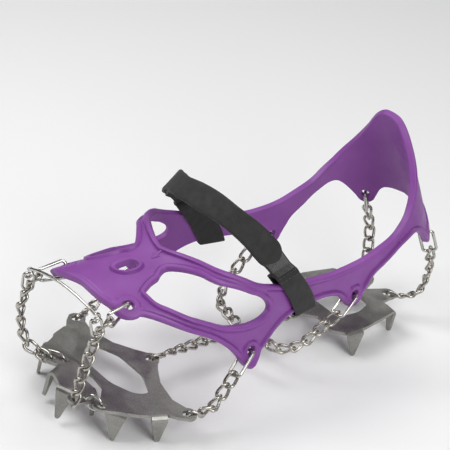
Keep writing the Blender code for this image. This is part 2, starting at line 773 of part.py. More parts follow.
def build_toe_plate():
    half = [(0, 1.5), (4.6, 1.2), (12.6, 9.2)] + lug_arc(*TOE_LUG, 4.4, 200, 375)
    half += lug_arc(*TOE_LINK_HOLE, 4.6, 0, 100, 6) + [(16, 20.0), (9, 20.5), (0, 18)]
    blades = [((8.9, 5.2), (0.7, -0.71), 10.5, 18.6, 6), ((12.2, 19.4), (0.2, 0.98), 6.5, 16.0, 3)]
    obj = plate("toe_plate", half, blades, [TOE_LUG, TOE_LINK_HOLE], [], 0.0, (0, 0, 0))
    for v in obj.data.vertices:
        v.co = (toe_place(v.co / MM) - toe_lug(0)) * MM
    obj.location = toe_lug(0) * MM


def build_plates():
    build_mid_plate()
    build_heel_plate()
    build_toe_plate()


def build_under_foot():
    """Links between the plates and the ring under the arch."""
    z = Vector((0, 0, 1))
    for side_name, side in SIDES:
        small_link("toe_link_" + side_name, toe_lug(side, TOE_LINK_HOLE), mid_lug(side, MID_FRONT_LUG), z,
                   TOE_LINK_WIDTH, CHAIN_WIRE)
    centre = Vector((*RING, PLATE_MID))
    path = [centre + Vector((math.cos(a), math.sin(a), 0)) * RING_RADIUS
            for a in (2 * math.pi * i / 12 for i in range(12))]
    verts, faces = tube(path, LINK_WIRE / 2, 6, closed=True, flat=Vector((0, 0, 1)))
    make_object("arch_ring", verts, faces, steel(), origin=centre)
    chain("arch_chain_front", [centre - Vector((0, RING_RADIUS, 0)), mid_lug(0, MID_TAIL_LUG)], z, z)
    heel_lug = Vector((*HEEL_FRONT_LUG, PLATE_MID))
    chain("arch_chain_rear", [centre + Vector((0, RING_RADIUS, 0)), heel_lug], z, z)


# ---------------------------------------------------------------- strap

SLEEVE_WALL = 1.6
SLEEVE_GAP = 0.6
# Front and rear edge of the sleeve from its bottom to its top, as (station, height)
SLEEVE_EDGES = [((13.5, 55.9), (31.0, 56.4)), ((10.5, 62.0), (29.0, 63.5)), ((6.5, 69.5), (25.0, 71.5)),
                ((1.5, 77.0), (19.5, 79.5)), ((-4.0, 84.0), (13.0, 87.5))]
# Front and rear edge of the strap from the outer sleeve over the foot to the inner one
STRAP_EDGES = [((-6.0, 87.6), (10.6, 91.6)), ((-10.5, 92.4), (5.0, 98.5)), ((-15, 95.8), (-0.5, 106.5)),
               ((-21, 104.3), (-7, 114.5))]
STRAP_OVER = [((-25.8, 18), (-12.8, 21.5)), ((-28.0, 6), (-14.6, 8.5)), ((-28.2, -6), (-15.6, -5.5)),
              ((-27.4, -19), (-15.6, -19))]
STRAP_BACK = [((-23, 104.3), (-9, 114.0)), ((-17, 96), (-3, 106.5)), ((-11, 92.4), (4.5, 98.5)),
              ((-6.0, 87.6), (10.6, 91.6))]


def on_upper(u, t, side, offset):
    n = upper_normal(u, t)
    return sided(upper(u, t) + n * offset, side), sided(n, side)


def strap_rows():
    """Front and rear edge points of the strap with their outward directions."""
    rows = []
    for edges, side in ((STRAP_EDGES, 1), (STRAP_OVER, 0), (STRAP_BACK, -1)):
        for pair in edges:
            row = []
            for u, value in pair:
                if side:
                    row.append(on_upper(*at_height(u, value), side, 0))
                else:
                    row.append(on_upper(*at_breadth(u, value), 1 if value >= 0 else -1, 0))
            rows.append(row)
    return rows


def smooth_rows(rows, steps):
    """More rows between the given ones, each edge on a smooth curve."""
    out = []
    for i in range(len(rows) - 1):
        a, b = rows[max(i - 1, 0)], rows[i]
        c, d = rows[i + 1], rows[min(i + 2, len(rows) - 1)]
        for k in range(steps):
            t = k / steps
            row = []
            for e in range(2):
                p = 0.5 * (2 * b[e][0] + (c[e][0] - a[e][0]) * t
                           + (2 * a[e][0] - 5 * b[e][0] + 4 * c[e][0] - d[e][0]) * t * t
                           + (3 * b[e][0] - a[e][0] - 3 * c[e][0] + d[e][0]) * t ** 3)
                row.append((p, b[e][1].lerp(c[e][1], t).normalized()))
            out.append(row)
    out.append(rows[-1])
    return out


def band(name, rows, offsets, widths, thickness, mat, origin):
    """Flat band laid along rows of edge points."""
    verts, faces = [], []
    for row, offset, width in zip(rows, offsets, widths):
        (f, fn), (r, rn) = row
        middle = (f + r) / 2
        for edge, n, level in ((f, fn, -1), (r, rn, -1), (r, rn, 1), (f, fn, 1)):
            p = middle + (edge - middle) * width
            verts.append(p + n * (offset + level * thickness / 2))
    for i in range(len(rows) - 1):
        a, b = 4 * i, 4 * i + 4
        faces += [(a + k, a + (k + 1) % 4, b + (k + 1) % 4, b + k) for k in range(4)]
    end = 4 * len(rows) - 4
    faces += [(0, 1, 2, 3), (end, end + 1, end + 2, end + 3)]
    return make_object(name, verts, faces, mat, origin=origin)


def sleeve(name, side):
    """Webbing sewn round the harness's side band."""
    inner = HARNESS_THICKNESS / 2 + SLEEVE_GAP
    rings = []
    for edge in (0, 1):
        places = [at_height(*pair[edge]) for pair in SLEEVE_EDGES]
        points = [on_upper(u, t, side, 0) for u, t in places]
        (bottom, bottom_out), (top, top_out) = points[0], points[-1]
        down = (bottom - points[1][0]).normalized()
        up = (top - points[-2][0]).normalized()
        turns = (math.pi / 4, math.pi / 2, 3 * math.pi / 4)
        for radius in (inner, inner + SLEEVE_WALL):
            loop = [p + n * radius for p, n in points]
            loop += [top + (top_out * math.cos(a) + up * (0.6 * math.sin(a))) * radius for a in turns]
            loop += [p - n * radius for p, n in reversed(points)]
            loop += [bottom + (down * (0.6 * math.sin(a)) - bottom_out * math.cos(a)) * radius for a in turns]
            rings.append(loop)
    front_in, front_out, rear_in, rear_out = rings
    verts, faces = [], []
    for quad in zip(front_in, rear_in, rear_out, front_out):
        verts += quad
    count = len(front_in)
    for i in range(count):
        a, b = 4 * i, 4 * ((i + 1) % count)
        faces += [(a + k, a + (k + 1) % 4, b + (k + 1) % 4, b + k) for k in range(4)]
    return make_object(name, verts, faces, webbing(), origin=verts[0])


def build_strap():
    sleeve("strap_sleeve_left", 1)
    sleeve("strap_sleeve_right", -1)
    rows = smooth_rows(strap_rows(), 2)
    count = len(rows)
    rise = [1.6 * min(1.0, i / 4, (count - 1 - i) / 4) + 0.6 for i in range(count)]
    band("strap_base", rows, rise, [1.0] * count, STRAP_BASE_THICKNESS, webbing(), rows[-1][0][0])
    tail = rows[2:-1]
    widths = [0.55, 0.9] + [1.0] * (len(tail) - 2)
    clear = STRAP_BASE_THICKNESS / 2 + STRAP_THICKNESS / 2 + STRAP_CLEARANCE
    lift = [r + clear for r in rise[2:-1]]
    hinge = (tail[-1][0][0] + tail[-1][1][0]) / 2
    band("strap_tail", tail, lift, widths, STRAP_THICKNESS, webbing(), hinge)


# ---------------------------------------------------------------- the build

def build():
    clear_scene()
    build_harness()
    build_bail(build_hangers())
    build_plates()
    build_under_foot()
    build_strap()
    for obj in bpy.context.scene.objects:
        obj.location -= Vector(FOOTPRINT_MIDDLE) * MM


build()
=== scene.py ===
"""Looks of the chain crampon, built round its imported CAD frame.

Lengths are millimetres in the boot's own frame, where the toe points to -Y, the outer side of
the foot is +X and the spike tips stand on z = 0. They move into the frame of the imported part
and become metres when a mesh is made.
"""
import math
from itertools import product

import bmesh
import bpy
import numpy as np
from mathutils import Matrix, Vector
from mathutils.geometry import delaunay_2d_cdt
from mathutils.kdtree import KDTree


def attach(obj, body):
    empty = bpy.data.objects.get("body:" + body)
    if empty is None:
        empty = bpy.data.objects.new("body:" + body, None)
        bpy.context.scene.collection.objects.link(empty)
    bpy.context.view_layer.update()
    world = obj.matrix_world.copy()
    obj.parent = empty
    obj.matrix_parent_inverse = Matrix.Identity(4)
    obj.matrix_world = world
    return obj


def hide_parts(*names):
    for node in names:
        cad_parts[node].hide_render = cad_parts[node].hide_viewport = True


MM = 0.001
FOOTPRINT_MIDDLE = Vector((0.31, 11.91, 0.0))

# Boot upper that the harness lies on: (station y, half width) and (station y, top height)
UPPER_WIDTH = [(-150, 18), (-135, 30), (-120, 36), (-94, 42), (-60, 49), (-23, 52),
               (10, 47), (40, 42), (70, 40), (108, 40)]
UPPER_TOP = [(-150, 60), (-120, 75), (-94, 81.5), (-76, 84), (-60, 88), (-40, 100),
             (-20, 117), (0, 137), (20, 158), (45, 190), (70, 215), (108, 230)]
UPPER_BASE = 34.0
ROUNDNESS = 2.5
HEEL_Y = 108.0
HEEL_RADIUS = 40.0
HEEL_BULGE = 3.0
BACK = HEEL_Y + HEEL_RADIUS * math.pi / 2
# Each of these starts at a height; the last two also grow from a station over a length
FLARE, FLARE_HEIGHT, FLARE_SPAN = 4.0, 50, 16
HEEL_TAPER, TAPER_HEIGHT, TAPER_STATION, TAPER_LENGTH = 0.14, 73, 70, 50
ANKLE_LEAN, LEAN_HEIGHT, LEAN_STATION, LEAN_LENGTH = 0.24, 56, -30, 90
# A left foot's toe turns in: the forefoot is shifted, skewed and tilted in front of a station
TURN_STATION, TURN_SHIFT, TURN_SKEW, SKEW_LENGTH = -60, -0.0028, 0.1, 30
TILT_STATION, TILT, TILT_LENGTH = -40, 0.05, 50
STEP_U = 0.5
STEP_T = 0.01
DOMAIN_SCALE = 60.0
MIDDLE = math.pi / 2 * DOMAIN_SCALE

# Harness sheet, with rims and discs round its edges and holes over a lower panel
SHEET = 4.4
PANEL_DROP = 0.9
RIM_RISE = 0.3
RIM_WIDTH = 3.3
# Width and share of the rise of the edges' rims, the vamp hole's ring and the ears' discs
RAISED = ((RIM_WIDTH, 1.0), (3.2, 1.2), (3.6, 0.8))
NARROW_SPAN = 3.0
STEP_WIDTH = 0.8
GROOVE_HALF = 0.9
GROOVE_DEPTH = 0.45
OUTER_ROUNDING = 1.4
INNER_ROUNDING = 0.8
EAR_RADIUS = 8.5
EAR_HOLE = 2.7
VAMP_HOLE = 6.3
VAMP_HOLE_Y = -75.5
ARC_STEPS = 6
HOLE_STEPS = 20

# Places that the sheet is triangulated from: along edges, beside them, and a grid between
EDGE_SPACING = 1.5
DENSE_SPACING = 0.3
GRID_SPACING = 2.6
ROW_RATIO = 0.87
GRID_CLEARANCE = 5.8
# Least distance between places, and from the mirror line over the foot and behind the heel
NEAREST = 0.24
GRID_NEAREST = 0.6 * GRID_SPACING
MIDDLE_MARGIN = 0.35
BACK_MARGIN = 0.8
ON_SEAM = 1e-4
# Rows beside an edge, which further out than MEASURED are corrected to their true distance
PROBE = 0.2
MEASURED = 1.2
CLEAR = 0.975
LEAST_CLEAR = 0.2
LEAST_RATIO, MOST_RATIO = 0.7, 2.2
EDGE_OFFSETS = (0.12, 0.4, 0.85, 1.5, 2.1, 2.5, 2.9, 3.3, 3.75, 4.2, 5.0)
EAR_OFFSETS = (0.12, 0.4, 0.85, 1.4, 2.1, 2.8, 3.2, 3.6, 4.05, 4.5, 5.2)

# Wire and chain. A run's links share out its length plus CHAIN_SLACK
WIRE = 2.0
CHAIN_WIRE = 2.0
CHAIN_PITCH = 8.6
CHAIN_SLACK = -0.65
CHAIN_WIDTH = 7.8
LINK_HALF = 4.3
FRONT_LINK_HALF = 4.9
BAIL_WIRE = 1.8
BAIL_LINK_WIRE = 1.7
BAIL_LINK_WIDTH = 6.2
BAIL_LINK_GAP = 0.2
WIRE_SIDES = 12
LINK_SIDES = 10
CURB_TWIST = math.radians(80)
HANG_GAP = 0.05
TURNED_LINKS = 2.5
CORNER = 2.2
BAIL_EYE = 2.7
BAIL_RISE = 6.5
BOW_STEPS = 40
EYE_STEPS = 24

# Plates
PLATE_MID = 16.5

# Strap
SLEEVE_WALL = 1.6
SLEEVE_GAP = 0.6
SLEEVE_BULGE = 0.6
SLEEVE_ROWS = 6
BASE_THICKNESS = 1.6
TAIL_THICKNESS = 2.2
PILE_THICKNESS = 0.7
PILE_WIDTH = 0.84
PILE_SINK = 0.1
REST_HEIGHT = 0.6
STRAP_RISE = 1.6
SEWN_GAP = 0.45
LAYER_GAP = 0.9
TAIL_TIP = 7.0
ROW_STEPS = 12
THREAD = 0.28
STITCH_INSET = 2.0
STITCH_LENGTH = 2.0
STITCH_PITCH = 2.9


# ---- curves and surfaces

def through(points, x):
    """Smooth value at x of the curve through the (x, value) points."""
    if x <= points[0][0]:
        return points[0][1]
    if x >= points[-1][0]:
        return points[-1][1]
    last = len(points) - 1

    def slope(i):
        a, b = points[max(i - 1, 0)], points[min(i + 1, last)]
        return (b[1] - a[1]) / (b[0] - a[0])

    for i in range(last):
        a, b = points[i], points[i + 1]
        if x <= b[0]:
            span = b[0] - a[0]
            t = (x - a[0]) / span
            return ((2 * t ** 3 - 3 * t ** 2 + 1) * a[1] + (t ** 3 - 2 * t ** 2 + t) * span * slope(i)
                    + (3 * t ** 2 - 2 * t ** 3) * b[1] + (t ** 3 - t ** 2) * span * slope(i + 1))


def smooth_curve(a, b, c, d, t):
    """Point between b and c on the curve through all four."""
    return 0.5 * (2 * b + (c - a) * t + (2 * a - 5 * b + 4 * c - d) * t * t
                  + (3 * b - a - 3 * c + d) * t ** 3)


def signed_power(value, exponent):
    return math.copysign(abs(value) ** exponent, value)


def share(low, span, x):
    """0 up to low, then rising to 1 over the span."""
    return min(1.0, max(0.0, (x - low) / span))


def smooth_step(low, high, x):
    t = share(low, high - low, x)
    return t * t * (3 - 2 * t)


def section(u):
    """Centre, outward direction, half width and height of the upper at station u."""
    if u <= HEEL_Y:
        return Vector((0, u)), Vector((1, 0)), through(UPPER_WIDTH, u), through(UPPER_TOP, u) - UPPER_BASE
    turn = (u - HEEL_Y) / HEEL_RADIUS
    radius = HEEL_RADIUS + HEEL_BULGE * math.sin(turn)
    return (Vector((0, HEEL_Y)), Vector((math.cos(turn), math.sin(turn))), radius,
            through(UPPER_TOP, HEEL_Y) - UPPER_BASE)


def upper(u, t):
    """Point of the boot's outer half. u runs from the toe round to the back of the heel,
    t from 0 at the sole's edge to a quarter turn over the middle of the foot."""
    centre, out, width, height = section(u)
    z = UPPER_BASE + height * signed_power(math.sin(t), 2 / ROUNDNESS)
    r = width * signed_power(math.cos(t), 2 / ROUNDNESS)
    r += FLARE * (max(0.0, FLARE_HEIGHT - z) / FLARE_SPAN) ** 2
    r -= HEEL_TAPER * max(0.0, z - TAPER_HEIGHT) * share(TAPER_STATION, TAPER_LENGTH, u)
    lean = ANKLE_LEAN * max(0.0, z - LEAN_HEIGHT) * share(LEAN_STATION, LEAN_LENGTH, u)
    return Vector((centre.x + out.x * r, centre.y + out.y * r - lean, z))


def upper_normal(u, t):
    step = STEP_U / DOMAIN_SCALE
    du = upper(u + STEP_U, t) - upper(u - STEP_U, t)
    dt = upper(u, t + step) - upper(u, t - step)
    normal = du.cross(dt).normalized()
    if normal.z < 0 and t > 0.8 or normal.dot(upper(u, t) - Vector((0, min(u, HEEL_Y), 40))) < 0:
        normal = -normal
    return normal


def at_height(u, z):
    """(u, t) where the upper has height z."""
    height = section(u)[3]
    rise = max(-1.0, min(1.0, (z - UPPER_BASE) / height))
    return u, math.asin(signed_power(rise, ROUNDNESS / 2))


def at_breadth(u, x):
    """(u, t) where the upper, over the foot, is x from its middle."""
    return u, math.acos(min(1.0, abs(x) / section(u)[2]) ** (ROUNDNESS / 2))


def foot_shape(p):
    """Point of a left foot, whose toe turns in, from that of a foot that's even on both sides."""
    shift = TURN_SHIFT * max(0.0, TURN_STATION - p.y) ** 2
    skew = TURN_SKEW * share(-TURN_STATION, SKEW_LENGTH, -p.y)
    tilt = TILT * share(-TILT_STATION, TILT_LENGTH, -p.y)
    return Vector((p.x + shift, p.y + skew * p.x, p.z + tilt * p.x))


def square_to(vector, axis):
    return (vector - axis * vector.dot(axis)).normalized()


def round_point(centre, radius, angle):
    """(u, t) at a distance from a centre on the upper, measured along its surface."""
    u, t = centre
    per_u = (upper(u + STEP_U, t) - upper(u - STEP_U, t)).length / (2 * STEP_U)
    per_t = (upper(u, t + STEP_T) - upper(u, t - STEP_T)).length / (2 * STEP_T)
    return u + radius * math.cos(angle) / per_u, t + radius * math.sin(angle) / per_t


def arc(centre, radius, start, end):
    return [round_point(centre, radius, math.radians(start + (end - start) * i / ARC_STEPS))
            for i in range(ARC_STEPS + 1)]


def flat(u, t):
    """Place on the flat domain that the sheet is triangulated in."""
    return Vector((u, t * DOMAIN_SCALE))


def lifted(p):
    """Point of the upper under a place on the flat domain."""
    return upper(p.x, p.y / DOMAIN_SCALE)


def spline(points, spacing):
    """Places along a smooth curve through the given (u, t) points."""
    pts = [flat(u, t) for u, t in points]
    pts = [2 * pts[0] - pts[1]] + pts + [2 * pts[-1] - pts[-2]]
    out = []
    for a, b, c, d in zip(pts, pts[1:], pts[2:], pts[3:]):
        count = max(1, round((c - b).length / spacing))
        out += [smooth_curve(a, b, c, d, i / count) for i in range(count)]
    return out + [pts[-2]]


# ---- materials

class Shader:
    """A Principled material and short ways to add nodes to it."""

    def __init__(self, name, colour, roughness, metallic=0.0):
        self.mat = bpy.data.materials.new(name)
        self.mat.use_nodes = True
        self.nodes = self.mat.node_tree.nodes
        self.links = self.mat.node_tree.links
        self.main = self.nodes["Principled BSDF"]
        self.set({"Base Color": (*colour, 1), "Roughness": roughness, "Metallic": metallic})
        self.place = self.nodes.new("ShaderNodeTexCoord").outputs["Object"]

    def node(self, kind, output, inputs, **settings):
        """Output of a new node whose inputs are linked or set, after its settings."""
        node = self.nodes.new(kind)
        for name, value in settings.items():
            setattr(node, name, value)
        for name, value in inputs.items():
            if isinstance(value, bpy.types.NodeSocket):
                self.links.new(value, node.inputs[name])
            else:
                node.inputs[name].default_value = value
        return node.outputs[output]

    def noise(self, scale, detail):
        """Noise from 0 to 1, with scale in features per metre."""
        return self.node("ShaderNodeTexNoise", "Fac",
                         {"Vector": self.place, "Scale": scale, "Detail": detail})

    def spread(self, value, low, high, start=0.3, end=0.7):
        """Value between start and end taken to the range from low to high."""
        return self.node("ShaderNodeMapRange", "Result",
                         {"Value": value, "From Min": start, "From Max": end, "To Min": low, "To Max": high})

    def math(self, operation, a, b=0.0):
        return self.node("ShaderNodeMath", 0, {0: a, 1: b}, operation=operation)

    def total(self, *terms):
        """Sum of values, each times its factor."""
        products = [self.math('MULTIPLY', value, factor) for value, factor in terms]
        out = products[0]
        for more in products[1:]:
            out = self.math('ADD', out, more)
        return out

    def set(self, values):
        for name, value in values.items():
            self.main.inputs[name].default_value = value

    def colour(self, value, colour_a, colour_b, start=0.3, end=0.7):
        """Base colour that goes from a to b while the value goes from start to end."""
        inputs = {"Factor": self.spread(value, 0, 1, start, end), "A": (*colour_a, 1), "B": (*colour_b, 1)}
        mixed = self.node("ShaderNodeMix", "Result", inputs, data_type='RGBA')
        self.links.new(mixed, self.main.inputs["Base Color"])

    def roughness(self, value, low, high):
        self.links.new(self.spread(value, low, high), self.main.inputs["Roughness"])

    def bump(self, height, distance, strength):
        """Small relief, distance metres deep, on top of any relief added before it."""
        before = self.main.inputs["Normal"]
        inputs = {"Height": height, "Distance": distance, "Strength": strength}
        if before.is_linked:
            inputs["Normal"] = before.links[0].from_socket
        self.links.new(self.node("ShaderNodeBump", "Normal", inputs), before)


def elastomer():
    s = Shader("purple_elastomer", (0.235, 0.072, 0.31), 0.42)
    s.set({"Specular IOR Level": 0.42})
    s.colour(s.noise(45, 4), (0.222, 0.057, 0.300), (0.262, 0.075, 0.348))
    s.roughness(s.noise(160, 3), 0.36, 0.52)
    s.bump(s.noise(1400, 2), 0.00004, 0.5)
    s.bump(s.noise(90, 2), 0.00025, 0.35)
    return s.mat


def wire_steel(name, colour, low, high):
    """Drawn and tumbled stainless wire."""
    s = Shader(name, colour, low, 1.0)
    dark = tuple(c * 0.78 for c in colour)
    s.colour(s.noise(350, 4), dark, colour)
    s.roughness(s.noise(700, 3), low, high)
    s.bump(s.noise(1100, 3), 0.00003, 0.6)
    return s.mat


def plate_steel():
    """Stainless sheet with a blasted face: fine grain and faint cloudy patches."""
    s = Shader("blasted_stainless", (0.50, 0.49, 0.46), 0.45, 1.0)
    grain = s.noise(2600, 2)
    cloud = s.noise(120, 4)
    s.colour(s.total((grain, 1.0), (cloud, 0.6)), (0.20, 0.20, 0.185), (0.46, 0.45, 0.42), 0.5, 1.1)
    s.roughness(cloud, 0.34, 0.52)
    s.bump(grain, 0.00006, 0.6)
    return s.mat


def webbing(name, colour, light, warp, weft, depth):
    """Woven nylon band: warp ribs along it, crossed by finer weft threads. Its weave map holds
    the distances along and across it in millimetres."""
    s = Shader(name, colour, 0.72)
    s.set({"Sheen Weight": 0.1, "Sheen Roughness": 0.5})
    weave = s.node("ShaderNodeUVMap", "UV", {}, uv_map="Weave")
    along, across = (s.node("ShaderNodeSeparateXYZ", axis, {"Vector": weave}) for axis in "XY")
    ribs = s.math('SINE', s.total((across, 2 * math.pi / warp)))
    picks = s.math('SINE', s.total((along, 2 * math.pi / weft), (ribs, 1.4)))
    cloth = s.math('ADD', s.total((ribs, 0.25), (picks, 0.25)), 0.5)
    worn = s.noise(220, 4)
    s.colour(s.total((cloth, 0.6), (worn, 0.4)), colour, light, 0.2, 0.8)
    s.roughness(worn, 0.62, 0.85)
    s.bump(cloth, depth, 0.8)
    return s.mat


def loop_pile():
    """Soft loop face of a hook and loop band."""
    s = Shader("black_loop_pile", (0.022, 0.021, 0.020), 0.95)
    s.set({"Sheen Weight": 0.5, "Sheen Roughness": 0.6})
    fluff = s.noise(1500, 4)
    s.colour(fluff, (0.012, 0.012, 0.012), (0.05, 0.048, 0.046))
    s.bump(fluff, 0.0005, 0.9)
    s.bump(s.noise(500, 3), 0.0006, 0.5)
    return s.mat


def thread():
    s = Shader("black_thread", (0.03, 0.03, 0.031), 0.6)
    s.colour(s.noise(2500, 2), (0.02, 0.02, 0.02), (0.07, 0.068, 0.066))
    s.bump(s.noise(3000, 2), 0.00008, 0.6)
    return s.mat


def floor_paint():
    s = Shader("pale_floor", (0.92, 0.92, 0.92), 0.6)
    s.set({"Specular IOR Level": 0.2})
    return s.mat


# ---- meshes and pieces

def add_object(name, data):
    obj = bpy.data.objects.new(name, data)
    bpy.context.scene.collection.objects.link(obj)
    return obj


def make_piece(name, shape, mat, body, nodes=(), smooth=True):
    """A visible piece riding on a body and standing for CAD nodes. The shape is its vertices in
    millimetres, its faces and, on a woven band, each vertex's place along and across it."""
    verts, faces, *weave = shape
    mesh = bpy.data.meshes.new(name)
    mesh.from_pydata([(Vector(v) - FOOTPRINT_MIDDLE) * MM for v in verts], [], faces)
    if weave:
        layer = mesh.uv_layers.new(name="Weave")
        for loop in mesh.loops:
            layer.data[loop.index].uv = weave[0][loop.vertex_index]
    bm = bmesh.new()
    bm.from_mesh(mesh)
    bmesh.ops.remove_doubles(bm, verts=bm.verts, dist=1e-6)
    bmesh.ops.recalc_face_normals(bm, faces=bm.faces)
    bm.to_mesh(mesh)
    bm.free()
    mesh.materials.append(mat)
    if smooth:
        mesh.shade_smooth()
        mesh.set_sharp_from_angle(angle=math.radians(50))
    obj = add_object(name, mesh)
    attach(obj, body)
    if nodes:
        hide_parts(*nodes)
    return obj


def heading(points, i, closed):
    """Direction of a run of points at one of them."""
    before = points[i - 1] if closed or i else points[i]
    after = points[(i + 1) % len(points)] if closed or i < len(points) - 1 else points[i]
    return (after - before).normalized()


def skin(rows, count, closed):
    """Faces over rows of count vertices each, with ends where the rows don't close."""
    faces = []
    for i in range(rows if closed else rows - 1):
        a, b = count * i, count * ((i + 1) % rows)
        faces += [(a + k, a + (k + 1) % count, b + (k + 1) % count, b + k) for k in range(count)]
    if not closed:
        end = count * (rows - 1)
        faces += [tuple(range(count)), tuple(range(end, end + count))]
    return faces


def around(centre, right, up, radius, angle):
    return centre + right * (radius * math.cos(angle)) + up * (radius * math.sin(angle))


def tube(points, radius, sides, closed=False, side=None):
    """Vertices and faces of a round wire along the points."""
    verts = []
    for i, p in enumerate(points):
        ahead = heading(points, i, closed)
        if side is None:
            side = ahead.orthogonal()
        side = square_to(side, ahead)
        up = ahead.cross(side)
        verts += [around(p, side, up, radius, 2 * math.pi * k / sides) for k in range(sides)]
    return verts, skin(len(points), sides, closed)


def joined(parts):
    """One list of vertices and faces from several."""
    verts, faces = [], []
    for more_verts, more_faces in parts:
        start = len(verts)
        verts += more_verts
        faces += [tuple(i + start for i in f) for f in more_faces]
    return verts, faces


# ---- harness

EARS = {"front": at_height(-93.5, 75.0), "mid": at_height(-21.5, 44.0), "rear": at_height(68, 51.2),
        "heel": at_height(141, 71.5)}
SIDES = (("left", 1), ("right", -1))


def heights(*pairs):
    return [at_height(u, z) for u, z in pairs]


def breadths(*pairs):
    return [at_breadth(u, x) for u, x in pairs]


def harness_outline():
    """Lower edge of the outer half, from the front middle round to the rear middle."""
    return (breadths((-104, 0), (-105, 10), (-104.5, 18), (-102.5, 23.5))
            + arc(EARS["front"], EAR_RADIUS, -160, -60)
            + heights((-83, 69.3), (-68, 63.8), (-52, 58.3), (-40, 51.2), (-32, 43.5))
            + arc(EARS["mid"], EAR_RADIUS, -150, -20)
            + heights((-9.5, 44), (-1, 51.5), (12, 56.5), (33, 57.3), (52, 54.5))
            + arc(EARS["rear"], EAR_RADIUS - 0.5, -150, -10)
            + heights((82.5, 60), (94, 67.5), (107, 76), (122, 81))
            + arc(EARS["heel"], EAR_RADIUS - 1.5, -160, -10)
            + heights((154, 80.5), (BACK, 84)))


def harness_top():
    """Upper edge of the outer half, from the back of the heel tab to the vamp's middle."""
    side = heights((BACK, 144), (161, 143), (152, 137), (143, 125), (134, 114), (126, 105.5), (118, 97),
                   (110, 90), (102, 83.8), (91, 79), (76, 74), (61, 71.8), (45, 71.5), (28, 73.6), (8, 77),
                   (-12, 82.8), (-26, 88.7), (-37, 92))
    return side + breadths((-44, 22.5), (-49.5, 10), (-52, 0))


def side_window():
    return heights((-80.5, 79.5), (-73, 82.2), (-67.3, 83.8), (-64, 85.2), (-60, 86.8), (-55, 88),
                   (-48, 88), (-40, 84.9), (-25, 80.2), (-17, 76.8), (-10.5, 72), (-8.3, 67), (-12, 63.6),
                   (-21, 61.8), (-31, 62), (-43, 64.3), (-58, 69.4), (-71, 73.8), (-77.5, 76.2))


def circle(centre, radius, turn=2 * math.pi):
    """Places round a centre, with one at each end of the turn."""
    return [flat(*round_point(centre, radius, turn * i / HOLE_STEPS)) for i in range(HOLE_STEPS + 1)]


def seam_run(a, b):
    """Places between two ends of a seam, close together near its ends."""
    length = (lifted(b) - lifted(a)).length
    steps = [d for d in EDGE_OFFSETS if d < length / 2]
    inner = length - 2 * steps[-1]
    count = max(1, round(inner / GRID_SPACING))
    distances = steps + [steps[-1] + inner * i / count for i in range(1, count)]
    distances += [length - d for d in reversed(steps)]
    return [a.lerp(b, d / length) for d in distances]


def harness_edges():
    """Runs of free edge and of seam, in order round the outer half, and the hole loops."""
    lower = spline(harness_outline(), EDGE_SPACING)
    top = spline(harness_top(), EDGE_SPACING)
    hole = circle((VAMP_HOLE_Y, math.pi / 2), VAMP_HOLE, -math.pi)
    for p in (lower[0], top[-1], hole[0], hole[-1]):
        p.y = MIDDLE
    for p in (lower[-1], top[0]):
        p.x = BACK
    hole.sort(key=lambda p: -p.x)
    runs = [lower, top, hole]
    seams = [seam_run(lower[-1], top[0]), seam_run(top[-1], hole[0]), seam_run(hole[-1], lower[0])]
    outer = lower + seams[0] + top + seams[1] + hole + seams[2]
    window = spline(side_window() + side_window()[:1], EDGE_SPACING)[:-1]
    rings = [circle(ear, EAR_HOLE)[:-1] for ear in EARS.values()]
    return outer, runs, window, rings


def inside_loop(points, loop):
    """For each row of an array of places, whether it lies inside the loop."""
    xs, ys = points[:, 0], points[:, 1]
    hit = np.zeros(len(points), bool)
    for a, b in zip(loop, loop[1:] + loop[:1]):
        if a.y == b.y:
            continue
        crosses = (a.y > ys) != (b.y > ys)
        hit ^= crosses & (xs < (b.x - a.x) * (ys - a.y) / (b.y - a.y) + a.x)
    return hit


def on_sheet(points, outer, holes):
    """For each row of an array of places, whether it lies inside outer and outside every hole."""
    keep = inside_loop(points, outer)
    for loop in holes:
        keep &= ~inside_loop(points, loop)
    return keep


def finder(*runs):
    """Tree of the upper's points along runs, close together, for measuring distances."""
    points = []
    for run in runs:
        for a, b in zip(run, run[1:]):
            pieces = max(1, math.ceil((lifted(b) - lifted(a)).length / DENSE_SPACING))
            points += [lifted(a.lerp(b, i / pieces)) for i in range(pieces)]
        points.append(lifted(run[-1]))
    tree = KDTree(len(points))
    for i, p in enumerate(points):
        tree.insert(p, i)
    tree.balance()
    return tree


class SheetRelief:
    """Distances from the sheet's edges and holes, and the relief that follows them."""

    def __init__(self, runs, window, rings):
        lower, top, hole = runs
        self.rims = [finder(lower), finder(top), finder(window + window[:1])]
        self.vamp = finder(hole)
        self.ears = finder(*(ring + ring[:1] for ring in rings))

    def distances(self, point):
        rim = min(edge.find(point)[2] for edge in self.rims)
        return (rim, self.vamp.find(point)[2], self.ears.find(point)[2])

    def narrow(self, point):
        """1 where a band has no room for a panel between its two rims, 0 where it has."""
        near, far, *_ = sorted(edge.find(point)[2] for edge in self.rims + [self.ears])
        return 1 - smooth_step(2 * RIM_WIDTH, 2 * RIM_WIDTH + NARROW_SPAN, near + far)

    def outer(self, point):
        """Height of the outer face over the sheet's middle surface: rims, discs and the
        groove beside each, over a lower panel."""
        distances = self.distances(point)
        raised, groove = 0.0, 0.0
        for distance, (width, part) in zip(distances, RAISED):
            raised = max(raised, part * (1 - smooth_step(width - STEP_WIDTH, width, distance)))
            groove = max(groove, 1 - abs(distance - width) / GROOVE_HALF)
        raised += self.narrow(point) * max(0.0, 1 - raised)
        height = SHEET / 2 - PANEL_DROP + (PANEL_DROP + RIM_RISE) * raised
        height -= GROOVE_DEPTH * smooth_step(0, 1, groove) * (1 - min(1.0, raised))
        return height - rounding(min(distances), OUTER_ROUNDING)

    def inner(self, point):
        return SHEET / 2 - rounding(min(self.distances(point)), INNER_ROUNDING)


